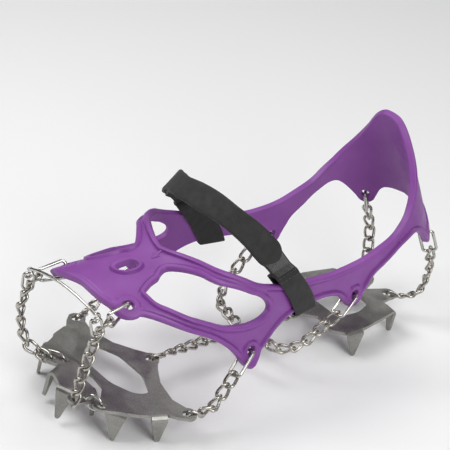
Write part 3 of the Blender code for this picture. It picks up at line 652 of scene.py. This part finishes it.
def rounding(distance, radius):
    """How far a rounded edge drops at a distance from the edge."""
    if distance >= radius:
        return 0.0
    return radius - math.sqrt(radius * radius - (radius - distance) ** 2)


def offset_places(loop, closed, distances, inward, relief):
    """Places beside a run of edge at each distance from it, measured on the upper."""
    out = []
    for i, p in enumerate(loop):
        ahead = heading(loop, i, closed)
        beside = Vector((-ahead.y, ahead.x)) * inward
        run = (lifted(p + beside * PROBE) - lifted(p)).length / PROBE
        stretch = clearance_ratio(relief, p, beside / run, MEASURED)
        for distance in distances:
            reach = beside * (stretch / run)
            if distance > MEASURED:
                reach *= clearance_ratio(relief, p, reach, distance)
                reach *= clearance_ratio(relief, p, reach, distance)
            out.append((distance, p + reach * distance))
    return out


def clearance_ratio(relief, p, reach, distance):
    """How much further than distance * reach a place lies that clears the edge by distance."""
    clear = min(relief.distances(lifted(p + reach * distance)))
    return min(MOST_RATIO, max(LEAST_RATIO, distance / max(clear, LEAST_CLEAR * distance)))


def turning(loop):
    """1 where a loop runs with its inside on the left, otherwise -1."""
    area = sum(a.x * b.y - b.x * a.y for a, b in zip(loop, loop[1:] + loop[:1]))
    return 1 if area > 0 else -1


def sheet_places(outer, runs, window, rings, relief):
    """Inner places of the sheet: rows beside every edge, rings round the ears, then a grid."""
    wanted = []
    for run in runs:
        wanted += offset_places(run, False, EDGE_OFFSETS, turning(outer), relief)
    wanted += offset_places(window, True, EDGE_OFFSETS, -turning(window), relief)
    for ring in rings:
        wanted += offset_places(ring, True, EAR_OFFSETS, -turning(ring), relief)
    wanted.sort(key=lambda item: item[0])
    wanted += [(None, p) for p in grid(outer)]
    array = np.array([tuple(p) for _, p in wanted])
    keep = on_sheet(array, outer, [window] + rings)
    places, cells = [], {}
    for kept, (distance, p) in zip(keep, wanted):
        if not kept or p.y > MIDDLE - MIDDLE_MARGIN or p.x > BACK - BACK_MARGIN:
            continue
        point = lifted(p)
        least, reach = (CLEAR * distance, NEAREST) if distance else (GRID_CLEARANCE, GRID_NEAREST)
        if min(relief.distances(point)) < least:
            continue
        cell = tuple(int(c // 2) for c in point)
        near = [q for step in product((-1, 0, 1), repeat=3)
                for q in cells.get(tuple(c + d for c, d in zip(cell, step)), ())]
        if all((point - q).length > reach for q in near):
            cells.setdefault(cell, []).append(point)
            places.append(p)
    return places


def grid(outer):
    """Places of an even triangular grid over the whole flat domain."""
    xs, ys = [p.x for p in outer], [p.y for p in outer]
    height = GRID_SPACING * ROW_RATIO
    return [Vector((min(xs), min(ys))) + Vector((i * GRID_SPACING + GRID_SPACING / 2 * (j % 2), j * height))
            for j in range(int((max(ys) - min(ys)) / height))
            for i in range(int((max(xs) - min(xs)) / GRID_SPACING))]


def harness_mesh():
    """Closed mesh of the harness, with rims, discs and rounded edges, mirrored over the middle."""
    outer, runs, window, rings = harness_edges()
    relief = SheetRelief(runs, window, rings)
    loops = [outer, window] + rings
    points, edges = [], []
    for loop in loops:
        start = len(points)
        points += loop
        edges += [(start + i, start + (i + 1) % len(loop)) for i in range(len(loop))]
    points += sheet_places(outer, runs, window, rings, relief)
    places, _, triangles, *_ = delaunay_2d_cdt(points, edges, [], 0, 1e-6)
    middles = np.array([tuple((places[t[0]] + places[t[1]] + places[t[2]]) / 3) for t in triangles])
    keep = on_sheet(middles, outer, loops[1:])
    seam = {i for i, p in enumerate(places) if min(abs(p.y - MIDDLE), abs(p.x - BACK)) < ON_SEAM}
    faces = [tuple(t) for t, kept in zip(triangles, keep) if kept and not seam.issuperset(t)]
    under, over = [], []
    for i, p in enumerate(places):
        point = lifted(p)
        normal = upper_normal(p.x, p.y / DOMAIN_SCALE)
        if i in seam:
            normal.x = 0
            normal.normalize()
            point.x = 0
        over.append(point + normal * relief.outer(point))
        under.append(point - normal * relief.inner(point))
    return closed_sheet(under, over, faces)


def closed_sheet(under, over, triangles):
    """Both faces and the wall between them, then the mirror image, as one mesh."""
    verts = under + over
    count = len(under)
    faces = [tuple(reversed(t)) for t in triangles] + [tuple(i + count for i in t) for t in triangles]
    used = {edge for t in triangles for edge in zip(t, t[1:] + t[:1])}
    for a, b in used:
        if (b, a) not in used and not (abs(verts[a].x) < 1e-6 and abs(verts[b].x) < 1e-6):
            faces.append((a, b, b + count, a + count))
    size = len(verts)
    verts += [Vector((-v.x, v.y, v.z)) for v in verts]
    faces += [tuple(reversed([i + size for i in f])) for f in faces]
    return [foot_shape(v) for v in verts], faces


def build_harness(mat):
    obj = make_piece("elastomer_harness", harness_mesh(), mat, "base", ["harness"])
    obj.modifiers.new("even_normals", 'WEIGHTED_NORMAL').keep_sharp = True


def build_arrow(mat):
    """Small moulded arrow on the vamp that points to the toe."""
    places = breadths((-61.2, 3.2), (-57.2, 0.6), (-57.8, 2.4), (-52.6, 1.9), (-52.4, 3.3), (-57.7, 3.8),
                      (-57.0, 5.6))
    points = [upper(u, t) for u, t in places]
    normals = [upper_normal(u, t) for u, t in places]
    panel = SHEET / 2 - PANEL_DROP
    middle = sum(points, Vector()) / len(points)
    verts = []
    for level, grow in ((-0.5, 1.0), (0.25, 1.0), (0.45, 0.86)):
        verts += [foot_shape(middle + (p - middle) * grow + n * (panel + level))
                  for p, n in zip(points, normals)]
    shape = verts, skin(3, len(points), False)
    make_piece("moulded_arrow", shape, mat, "base", smooth=False)


# ---- wire links and chains

FRONT_FEET = {"left": (25.6, -104.6, 71.6), "right": (-36.0, -110.8, 69.0)}
FEET = {"mid": (57.0, -34.5, 33.0), "rear": (42.4, 55.5, 40.5), "heel": (30.0, 141.0, 57.2)}
FRONT_ROUTES = {"left": [(24.6, -110.2, 66.8), (25.4, -120.2, 36.0)],
                "right": [(-37.6, -115.0, 64.5), (-41.5, -118.0, 48.0), (-34.0, -119.0, 28.0)]}
FRONT_ENDS = {"left": [(2.5, -2.5, -2.2), (0.7, -0.7, 0)], "right": [(0, 0, -0.8), (0, 0, 1)]}
ROUTES = {"mid": [(59.5, -44.0, 24.0), (60.5, -53.0, 15.0)],
          "rear": [(38.0, 34.0, 22.0), (32.0, 25.5, 16.5), (2.7, 19.3, 16.5)],
          "heel": [(29.0, 145.5, 44.0), (26.5, 145.5, 27.0), (21.5, 141.0, 17.5), (10.5, 131.0, 16.5)]}
BAIL_EYES = {"left": (25.0, -114.0, 76.0), "right": (-36.0, -117.4, 72.6)}
MID_SHIFT = 2.0
MID_FOLD = -92.0
MID_UPTURN = 0.15
MID_FRONT_LUG = (29.5, -107.8)
MID_REAR_LUG = (56.0, -66.5)
MID_TAIL_LUG = (0.0, -52.0)
HEEL_FRONT_LUG = (0.0, 66.0)
RING = (0.0, 19.3)
RING_RADIUS = 5.0
RING_STEPS = 40
TOE_PLACE = Vector((1.0, -120.1, 22.9))
TOE_PITCH = -8.0
TOE_YAW = -15.0
TOE_LUG = (21.3, 5.5)
TOE_LINK_HOLE = (19.3, 13.4)
TOE_LINK_WIDTH = 8.6


def sided(p, side):
    return Vector((p[0] * side, p[1], p[2]))


def toe_lug(side, where=TOE_LUG):
    turn = Matrix.Rotation(math.radians(TOE_YAW), 3, 'Z') @ Matrix.Rotation(math.radians(TOE_PITCH), 3, 'X')
    return TOE_PLACE + turn @ Vector((where[0] * side, where[1], 0))


def mid_lug(side, where=MID_REAR_LUG):
    return Vector((MID_SHIFT + where[0] * side, where[1],
                   PLATE_MID + MID_UPTURN * max(0.0, MID_FOLD - where[1])))


def ear_place(where, side):
    """Middle of an ear's hole and the direction square to the sheet there."""
    u, t = EARS[where]
    p = foot_shape(sided(upper(u, t), side))
    ahead = foot_shape(sided(upper(u + STEP_U, t), side)) - p
    rise = foot_shape(sided(upper(u, t + STEP_T), side)) - p
    normal = ahead.cross(rise).normalized()
    return p, normal if normal.x * side > 0 else -normal


def wire_loop(hole, foot, normal, half, foot_normal=None):
    """Rectangular wire loop from an ear's hole down to foot, and its lower strand's direction."""
    ahead = (foot - hole).normalized()
    normal = square_to(normal, ahead)
    last = square_to(foot_normal or normal, ahead)
    if last.dot(normal) < 0:
        last = -last
    steps = 6
    length = (foot - hole).length
    near, far, rise = CORNER, length - CORNER, half - CORNER
    path = []
    for x0, y0, start in ((near, rise, 90), (far, rise, 0), (far, -rise, -90), (near, -rise, -180)):
        for i in range(steps + 1):
            a = math.radians(start + 90 - 90 * i / steps)
            x = x0 + CORNER * math.cos(a)
            side = normal.lerp(last, x / length).normalized()
            path.append(hole + ahead * x + side * (y0 + CORNER * math.sin(a)))
    return tube(path, WIRE / 2, WIRE_SIDES, closed=True, side=ahead.cross(normal)), last


def oval_link(centre, ahead, across, length, width, wire, twist=0.0):
    """One round-ended link of round wire, whose ends turn against each other by twist."""
    r = (width - wire) / 2
    straight = length / 2 - r
    path = []
    for end, start in ((1, 90), (-1, -90)):
        angles = [math.radians(start - 22.5 * i) for i in range(9)]
        path += [(end * straight + r * math.cos(a), r * math.sin(a)) for a in angles]
        path += [(end * straight * (1 - i / 2), -end * r) for i in range(1, 4)]
    turned = [centre + ahead * x + (Matrix.Rotation(twist * x / length, 3, ahead) @ across) * y
              for x, y in path]
    return tube(turned, wire / 2, LINK_SIDES, closed=True, side=ahead.cross(across))


def along(route, distance):
    """Point at a distance along straight runs through the route's points."""
    for a, b in zip(route, route[1:]):
        run = (b - a).length
        if distance <= run or b is route[-1]:
            return a + (b - a) * (distance / run)
        distance -= run


def turn_between(a, b, axis, twist):
    """Angle from a to b about an axis, plus the twist, less the half turns in it."""
    angle = math.atan2(axis.dot(a.cross(b)), a.dot(b)) + twist
    return angle - math.pi * round(angle / math.pi)


def curb_chain(route, first_across, last_across, outward):
    """A curb chain along a route and the place of its second link. The first link hangs on a wire
    at the route's start, the last reaches its end, and those between lie flat, facing outward."""
    total = sum((b - a).length for a, b in zip(route, route[1:]))
    hang = WIRE / 2 + CHAIN_WIRE / 2 + HANG_GAP
    count = max(2, round((total + hang + CHAIN_SLACK) / CHAIN_PITCH))
    pitch = (total + hang - CHAIN_WIRE) / count
    length = pitch + CHAIN_WIRE
    route = [route[0] - (route[1] - route[0]).normalized() * hang] + route[1:]
    links, held = [], None
    for i in range(count):
        a, b = along(route, pitch * i), along(route, pitch * i + length)
        centre, ahead = (a + b) / 2, (b - a).normalized()
        across = outward.cross(ahead).normalized()
        first = turn_between(across, first_across, ahead, CURB_TWIST / 2)
        last = turn_between(across, last_across, ahead, -CURB_TWIST / 2)
        turn = (first * max(0.0, 1 - i / TURNED_LINKS)
                + last * max(0.0, 1 - (count - 1 - i) / TURNED_LINKS))
        side = Matrix.Rotation(turn, 3, ahead) @ across
        links.append(oval_link(centre, ahead, side, length, CHAIN_WIDTH, CHAIN_WIRE, CURB_TWIST))
        if i == 1:
            held = (centre, ahead, side)
    return joined(links), held


def build_hangers(wire_mat, chain_mat):
    """Wire links and chains, the front ones on the base. Returns the chain link on each side
    that the bail hangs on, as (middle, direction ahead, direction across)."""
    held = {}
    for where, (side_name, side) in product(EARS, SIDES):
        hole, normal = ear_place(where, side)
        wire_node, chain_node = f"{where}_wire_{side_name}", f"{where}_chain_{side_name}"
        if where == "front":
            foot = Vector(FRONT_FEET[side_name])
            shift, last = (Vector(v) for v in FRONT_ENDS[side_name])
            route = [foot] + [Vector(p) for p in FRONT_ROUTES[side_name]] + [toe_lug(side) + shift]
            ahead = (route[1] - route[0]).normalized()
            across = square_to(Vector((1, 0, 0)), ahead)
            shape, _ = wire_loop(hole, foot, normal, FRONT_LINK_HALF, ahead.cross(across))
            wire_body = chain_body = "base"
            outward = Vector((0.25 * side, -1, 0.2))
        else:
            foot = sided(FEET[where], side)
            route = [foot] + [sided(p, side) for p in ROUTES[where]]
            if where == "mid":
                route.append(mid_lug(side))
            last = Vector((0, 0, 1))
            shape, strand = wire_loop(hole, foot, normal, LINK_HALF)
            across = strand.cross((route[1] - route[0]).normalized())
            wire_body, chain_body = wire_node + "_body", chain_node + "_body"
            outward = normal
        make_piece(f"{where}_wire_link_{side_name}", shape, wire_mat, wire_body, [wire_node])
        chain, second = curb_chain(route, across, last, outward)
        make_piece(f"{where}_curb_chain_{side_name}", chain, chain_mat, chain_body, [chain_node])
        if where == "front":
            held[side_name] = second
    return held


def small_link(a, b, across, width, wire):
    ahead = (b - a).normalized()
    return oval_link((a + b) / 2, ahead, square_to(across, ahead), (b - a).length, width + wire, wire)


def build_bail(held, mat):
    """Wire over the toe cap, coiled into an eye at each end, and the links that hold it."""
    near, far = Vector(BAIL_EYES["left"]), Vector(BAIL_EYES["right"])
    axis = (far - near).normalized()
    up = square_to(Vector((0, -0.25, 1)), axis)
    across = axis.cross(up)
    span = (far - near).length

    def eye(middle, start, turn):
        return [around(middle, across, up, BAIL_EYE, math.radians(start + turn * i / EYE_STEPS))
                for i in range(EYE_STEPS + 1)]

    bow = [near + axis * (span * k) + up * (BAIL_EYE + BAIL_RISE * math.sin(math.pi * k) ** 0.8)
           for k in (i / BOW_STEPS for i in range(2, BOW_STEPS - 1))]
    wire = tube(eye(near, -150, 240) + bow + eye(far, 90, -240), BAIL_WIRE / 2, WIRE_SIDES)
    make_piece("toe_cap_bail", wire, mat, "toe_bail_body", ["toe_bail"])
    for side_name, (centre, ahead, side) in held.items():
        middle = Vector(BAIL_EYES[side_name])
        toward = side if side.dot(middle - centre) > 0 else -side
        hook = centre + toward * (CHAIN_WIDTH / 2 - CHAIN_WIRE - BAIL_LINK_WIRE / 2 - BAIL_LINK_GAP)
        link = small_link(hook, middle, ahead.cross(side), BAIL_LINK_WIDTH, BAIL_LINK_WIRE)
        make_piece("bail_holder_" + side_name, link, mat, "base", ["bail_link_" + side_name])


def build_under_foot(wire_mat, chain_mat):
    """Links between the plates and the ring under the arch."""
    z = Vector((0, 0, 1))
    for side_name, side in SIDES:
        link = small_link(toe_lug(side, TOE_LINK_HOLE), mid_lug(side, MID_FRONT_LUG), z, TOE_LINK_WIDTH,
                          CHAIN_WIRE)
        make_piece("toe_plate_link_" + side_name, link, wire_mat, "base", ["toe_link_" + side_name])
    centre = Vector((*RING, PLATE_MID))
    path = [around(centre, Vector((1, 0, 0)), Vector((0, 1, 0)), RING_RADIUS, 2 * math.pi * i / RING_STEPS)
            for i in range(RING_STEPS)]
    ring = tube(path, WIRE / 2, WIRE_SIDES, closed=True, side=z)
    make_piece("arch_wire_ring", ring, wire_mat, "base", ["arch_ring"])
    reach = Vector((0, RING_RADIUS, 0))
    for end, start, stop in (("front", centre - reach, mid_lug(0, MID_TAIL_LUG)),
                             ("rear", centre + reach, Vector((*HEEL_FRONT_LUG, PLATE_MID)))):
        chain, _ = curb_chain([start, stop], z, z, z)
        make_piece("arch_curb_chain_" + end, chain, chain_mat, "base", ["arch_chain_" + end])


# ---- plates

def dress_plates(mat):
    """The sheet steel plates keep their CAD shape, with their cut edges eased."""
    for node in ("mid_plate", "heel_plate", "toe_plate"):
        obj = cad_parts[node]
        obj.data.materials.clear()
        obj.data.materials.append(mat)
        obj.modifiers.new("weld", 'WELD').merge_threshold = 1e-6
        bevel = obj.modifiers.new("eased_edges", 'BEVEL')
        bevel.width = 0.35 * MM
        bevel.segments = 2
        bevel.limit_method = 'ANGLE'
        bevel.angle_limit = math.radians(35)


# ---- strap

# Front and rear edge of the sleeve from its bottom to its top, as (station, height)
SLEEVE_EDGES = [((13.5, 55.9), (31.0, 56.4)), ((10.5, 62.0), (29.0, 63.5)), ((6.5, 69.5), (25.0, 71.5)),
                ((1.5, 77.0), (19.5, 79.5)), ((-4.0, 84.0), (13.0, 87.5))]
# Front and rear edge of the strap from the outer sleeve over the foot to the inner one
STRAP_EDGES = [((-6.0, 87.6), (10.6, 91.6)), ((-10.5, 92.4), (5.0, 98.5)), ((-15, 95.8), (-0.5, 106.5)),
               ((-21, 104.3), (-7, 114.5))]
STRAP_OVER = [((-25.8, 18), (-12.8, 21.5)), ((-28.0, 6), (-14.6, 8.5)), ((-28.2, -6), (-15.6, -5.5)),
              ((-27.4, -19), (-15.6, -19))]
STRAP_BACK = [((-23, 104.3), (-9, 114.0)), ((-17, 96), (-3, 106.5)), ((-11, 92.4), (4.5, 98.5)),
              ((-6.0, 87.6), (10.6, 91.6))]
# The strap's ends carry on over the sleeves, to this edge
STRAP_ROOT = ((-2.6, 81.6), (14.6, 84.9))
ROWS_PER_SPAN = 10
LEAD_ROWS = 8
# Rows from each end that are sewn, and how many rows the pile patch keeps clear of each end
SEWN_ROWS = (1, 4)
PATCH_CLEAR = (5, 3)


def on_upper(place, side):
    """Point of the upper on one side of the foot, and the direction square to it."""
    return sided(upper(*place), side), sided(upper_normal(*place), side)


def strap_rows():
    """Front and rear edge points of the strap with their outward directions."""
    rows = [[on_upper(p, 1) for p in heights(*pair)] for pair in STRAP_EDGES]
    rows += [[on_upper(at_breadth(u, x), 1 if x >= 0 else -1) for u, x in pair] for pair in STRAP_OVER]
    return rows + [[on_upper(p, -1) for p in heights(*pair)] for pair in STRAP_BACK]


def smooth_rows(rows, steps):
    """More rows between the given ones, each edge on a smooth curve."""
    out = []
    for i in range(len(rows) - 1):
        spans = zip(rows[max(i - 1, 0)], rows[i], rows[i + 1], rows[min(i + 2, len(rows) - 1)])
        edges = [[(smooth_curve(a[0], b[0], c[0], d[0], k / steps), b[1].lerp(c[1], k / steps).normalized())
                  for k in range(steps)] for a, b, c, d in spans]
        out += [list(row) for row in zip(*edges)]
    return out + [rows[-1]]


def band_profile(half, thickness):
    """Section of a woven band: flat faces, full round selvedges. (across, height) pairs."""
    r = thickness / 2
    flat_half = max(0.2, half - r)
    top = [(flat_half * (1 - k / 4), r) for k in range(9)]
    left = [(-flat_half - r * math.sin(a), r * math.cos(a)) for a in (math.pi * k / 6 for k in range(1, 6))]
    return top + left + [(-x, -y) for x, y in top + left]


def centre_run(rows):
    """Distance along the middle of a band to each of its rows."""
    middles = [(f[0] + r[0]) / 2 for f, r in rows]
    run = [0.0]
    for a, b in zip(middles, middles[1:]):
        run.append(run[-1] + (b - a).length)
    return run


def band(rows, offsets, widths, thickness, closed=False):
    """Vertices, faces and weave places of a woven band laid along rows of edge points."""
    verts, weave = [], []
    run = centre_run(rows)
    for (f, r), along_it, offset, width in zip(rows, run, offsets, widths):
        (front, front_out), (rear, rear_out) = f, r
        middle = (front + rear) / 2
        breadth = (rear - front).length
        across = (rear - front).normalized()
        for x, h in band_profile(breadth / 2 * width, thickness):
            n = front_out.lerp(rear_out, 0.5 + x / breadth).normalized()
            verts.append(middle + across * x + n * (offset + h))
            weave.append((along_it, x))
    return verts, skin(len(rows), len(verts) // len(rows), closed), weave


def sleeve(side):
    """Webbing sewn round the harness's side band: (vertices, faces, weave places)."""
    middle = SHEET / 2 + SLEEVE_GAP + SLEEVE_WALL / 2
    loops = []
    for edge in (0, 1):
        rows = [[on_upper(at_height(*pair[edge]), side)] * 2 for pair in SLEEVE_EDGES]
        points = [row[0] for row in smooth_rows(rows, SLEEVE_ROWS)]
        bends = []
        for (p, n), (q, _) in (points[-1:] + points[-2:-1], points[:2]):
            way = (p - q).normalized()
            turned = [n * math.cos(a) + way * (SLEEVE_BULGE * math.sin(a))
                      for a in (math.pi * k / 12 for k in range(1, 12))]
            bends.append([(p + out * middle, out.normalized()) for out in turned])
        loops.append([(p + n * middle, n) for p, n in points] + bends[0]
                     + [(p - n * middle, -n) for p, n in reversed(points)] + bends[1][::-1])
    rows = list(zip(*loops))
    return band(rows, [0.0] * len(rows), [1.0] * len(rows), SLEEVE_WALL, closed=True)


def sewn_row(row, offset):
    """Thread stitches straight across a band, on its outer face."""
    (f, fn), (r, rn) = row
    across = (r - f).normalized()
    a, b = f + across * STITCH_INSET, r - across * STITCH_INSET
    normals = [fn.lerp(rn, k / ROW_STEPS).normalized() for k in range(ROW_STEPS + 1)]
    points = [a.lerp(b, k / ROW_STEPS) + n * offset for k, n in enumerate(normals)]
    parts, run = [], 0.0
    for a, b, n in zip(points, points[1:], normals):
        span = (b - a).length
        ahead = (b - a) / span
        while run < span:
            middle = a + ahead * run
            path = [middle + ahead * (STITCH_LENGTH / 2 * k) + n * (THREAD * (0.6 - abs(k) ** 3))
                    for k in (-1, -0.8, -0.4, 0, 0.4, 0.8, 1)]
            parts.append(tube(path, THREAD, 6, side=n))
            run += STITCH_PITCH
        run -= span
    return joined(parts)


def build_strap(cloth, pile, sewing):
    """Sleeves, the strap sewn to them, its hook layer with the pile beneath it, and stitches."""
    face = SHEET / 2 + SLEEVE_GAP + SLEEVE_WALL
    for side_name, side in SIDES:
        make_piece("webbing_sleeve_" + side_name, sleeve(side), cloth, "base",
                   ["strap_sleeve_" + side_name])
    rows = smooth_rows(strap_rows(), ROWS_PER_SPAN)
    count = len(rows)
    ramp = 2 * ROWS_PER_SPAN
    rise = [STRAP_RISE * min(1.0, i / ramp, (count - 1 - i) / ramp) + REST_HEIGHT for i in range(count)]
    roots = {side: [on_upper(p, side) for p in heights(*STRAP_ROOT)] for side in (1, -1)}
    end = ROWS_PER_SPAN // 2
    start = smooth_rows([roots[1], rows[0], rows[end]], LEAD_ROWS)[:LEAD_ROWS]
    finish = smooth_rows([rows[-1 - end], rows[-1], roots[-1]], LEAD_ROWS)[LEAD_ROWS + 1:]
    sewn_height = face + SEWN_GAP
    lead = [sewn_height + (rise[0] - sewn_height) * smooth_step(0.35, 1, k / LEAD_ROWS)
            for k in range(LEAD_ROWS)]
    levels = lead + rise + lead[::-1]
    whole = start + rows + finish
    strap = band(whole, levels, [1.0] * len(whole), BASE_THICKNESS)
    make_piece("instep_strap", strap, cloth, "base", ["strap_base"])
    first, stop = PATCH_CLEAR[0], -len(finish) - end - PATCH_CLEAR[1]
    patch = whole[first:stop]
    lift = [level + BASE_THICKNESS / 2 + PILE_THICKNESS / 2 - PILE_SINK for level in levels[first:stop]]
    patch = band(patch, lift, [PILE_WIDTH] * len(patch), PILE_THICKNESS)
    make_piece("loop_pile_patch", patch, pile, "base")
    tail = rows[ROWS_PER_SPAN:-end]
    levels = [r + BASE_THICKNESS / 2 + TAIL_THICKNESS / 2 + LAYER_GAP for r in rise[ROWS_PER_SPAN:-end]]
    widths = [math.sqrt(1 - max(0.0, 1 - (d + 0.3) / TAIL_TIP) ** 2) for d in centre_run(tail)]
    layer = band(tail, levels, widths, TAIL_THICKNESS)
    make_piece("hook_strap_tail", layer, cloth, "strap_tail_body", ["strap_tail"])
    sewn = joined([sewn_row(row, lead[i] + BASE_THICKNESS / 2)
                   for i in SEWN_ROWS for row in (whole[i], whole[-1 - i])])
    make_piece("strap_stitching", sewn, sewing, "base")
    sewn = joined([sewn_row(tail[-1 - i], levels[-1 - i] + TAIL_THICKNESS / 2) for i in SEWN_ROWS])
    make_piece("tail_stitching", sewn, sewing, "strap_tail_body")


# ---- camera, light and floor

AZIMUTH = math.radians(47.89)
ELEVATION = math.radians(28.79)
ROLL = math.radians(8.44)
DISTANCE = 1147.46
AIM = Vector((0, 0, 70))
AIM_RIGHT = -2.01
AIM_UP = 20.97
LENS = 154.9
SENSOR = 36.0
FLOOR_HALF = 20.0


def view_axes(azimuth, elevation, roll=0.0):
    """Right, up and back directions of a camera."""
    back = Vector((math.sin(azimuth) * math.cos(elevation), -math.cos(azimuth) * math.cos(elevation),
                   math.sin(elevation)))
    right = Vector((math.cos(azimuth), math.sin(azimuth), 0))
    up = back.cross(right)
    return right * math.cos(roll) + up * math.sin(roll), up * math.cos(roll) - right * math.sin(roll), back


def placed(location, right, up, back):
    m = Matrix((right, up, back)).transposed().to_4x4()
    m.translation = (location - FOOTPRINT_MIDDLE) * MM
    return m


def add_camera():
    data = bpy.data.cameras.new("photo_camera")
    data.lens = LENS
    data.sensor_width = SENSOR
    camera = add_object("photo_camera", data)
    right, up, back = view_axes(AZIMUTH, ELEVATION, ROLL)
    location = AIM + right * AIM_RIGHT + up * AIM_UP + back * DISTANCE
    camera.matrix_world = placed(location, right, up, back)
    bpy.context.scene.camera = camera


def softbox(name, azimuth, elevation, distance, size, power):
    data = bpy.data.lights.new(name, 'AREA')
    data.shape = 'RECTANGLE'
    data.size, data.size_y = size
    data.energy = power
    light = add_object(name, data)
    right, up, back = view_axes(math.radians(azimuth), math.radians(elevation))
    light.matrix_world = placed(AIM + back * distance, right, up, back)


def add_studio():
    softbox("key_softbox", -40, 50, 900, (0.6, 0.5), 4.6)
    softbox("side_softbox", 82, 32, 1000, (0.5, 0.6), 4.8)
    softbox("back_softbox", 200, 55, 1100, (0.8, 0.4), 3.0)
    world = bpy.data.worlds.new("studio")
    world.use_nodes = True
    nodes, links = world.node_tree.nodes, world.node_tree.links
    split = nodes.new("ShaderNodeSeparateXYZ")
    links.new(nodes.new("ShaderNodeTexCoord").outputs["Generated"], split.inputs["Vector"])
    ramp = nodes.new("ShaderNodeValToRGB")
    low, high = ramp.color_ramp.elements
    low.position, low.color = 0.1, (0.07, 0.07, 0.075, 1)
    high.position, high.color = 0.85, (1.0, 1.0, 1.0, 1)
    links.new(split.outputs["Z"], ramp.inputs["Fac"])
    links.new(ramp.outputs["Color"], nodes["Background"].inputs["Color"])
    nodes["Background"].inputs["Strength"].default_value = 0.4
    bpy.context.scene.world = world
    bpy.context.scene.view_settings.view_transform = 'Standard'


def add_floor(mat):
    mesh = bpy.data.meshes.new("studio_floor")
    corners = [(x * FLOOR_HALF, y * FLOOR_HALF, 0) for x, y in ((-1, -1), (1, -1), (1, 1), (-1, 1))]
    mesh.from_pydata(corners, [], [(0, 1, 2, 3)])
    mesh.materials.append(mat)
    obj = add_object("studio_floor", mesh)


# ---- the build

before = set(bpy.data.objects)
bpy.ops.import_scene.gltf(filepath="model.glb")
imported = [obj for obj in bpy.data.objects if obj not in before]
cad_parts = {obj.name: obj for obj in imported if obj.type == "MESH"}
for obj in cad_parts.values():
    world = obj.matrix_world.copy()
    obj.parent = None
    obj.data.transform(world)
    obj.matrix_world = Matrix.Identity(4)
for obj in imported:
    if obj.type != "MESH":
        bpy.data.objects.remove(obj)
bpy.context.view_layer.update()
add_camera()
add_studio()
add_floor(floor_paint())
rubber = elastomer()
build_harness(rubber)
build_arrow(rubber)
wire_mat = wire_steel("polished_wire", (0.58, 0.57, 0.53), 0.14, 0.28)
chain_mat = wire_steel("tumbled_chain", (0.52, 0.50, 0.45), 0.16, 0.32)
build_bail(build_hangers(wire_mat, chain_mat), wire_mat)
build_under_foot(wire_mat, chain_mat)
dress_plates(plate_steel())
build_strap(webbing("black_webbing", (0.007, 0.007, 0.007), (0.022, 0.021, 0.020), 1.1, 0.8, 0.00008),
            loop_pile(), thread())
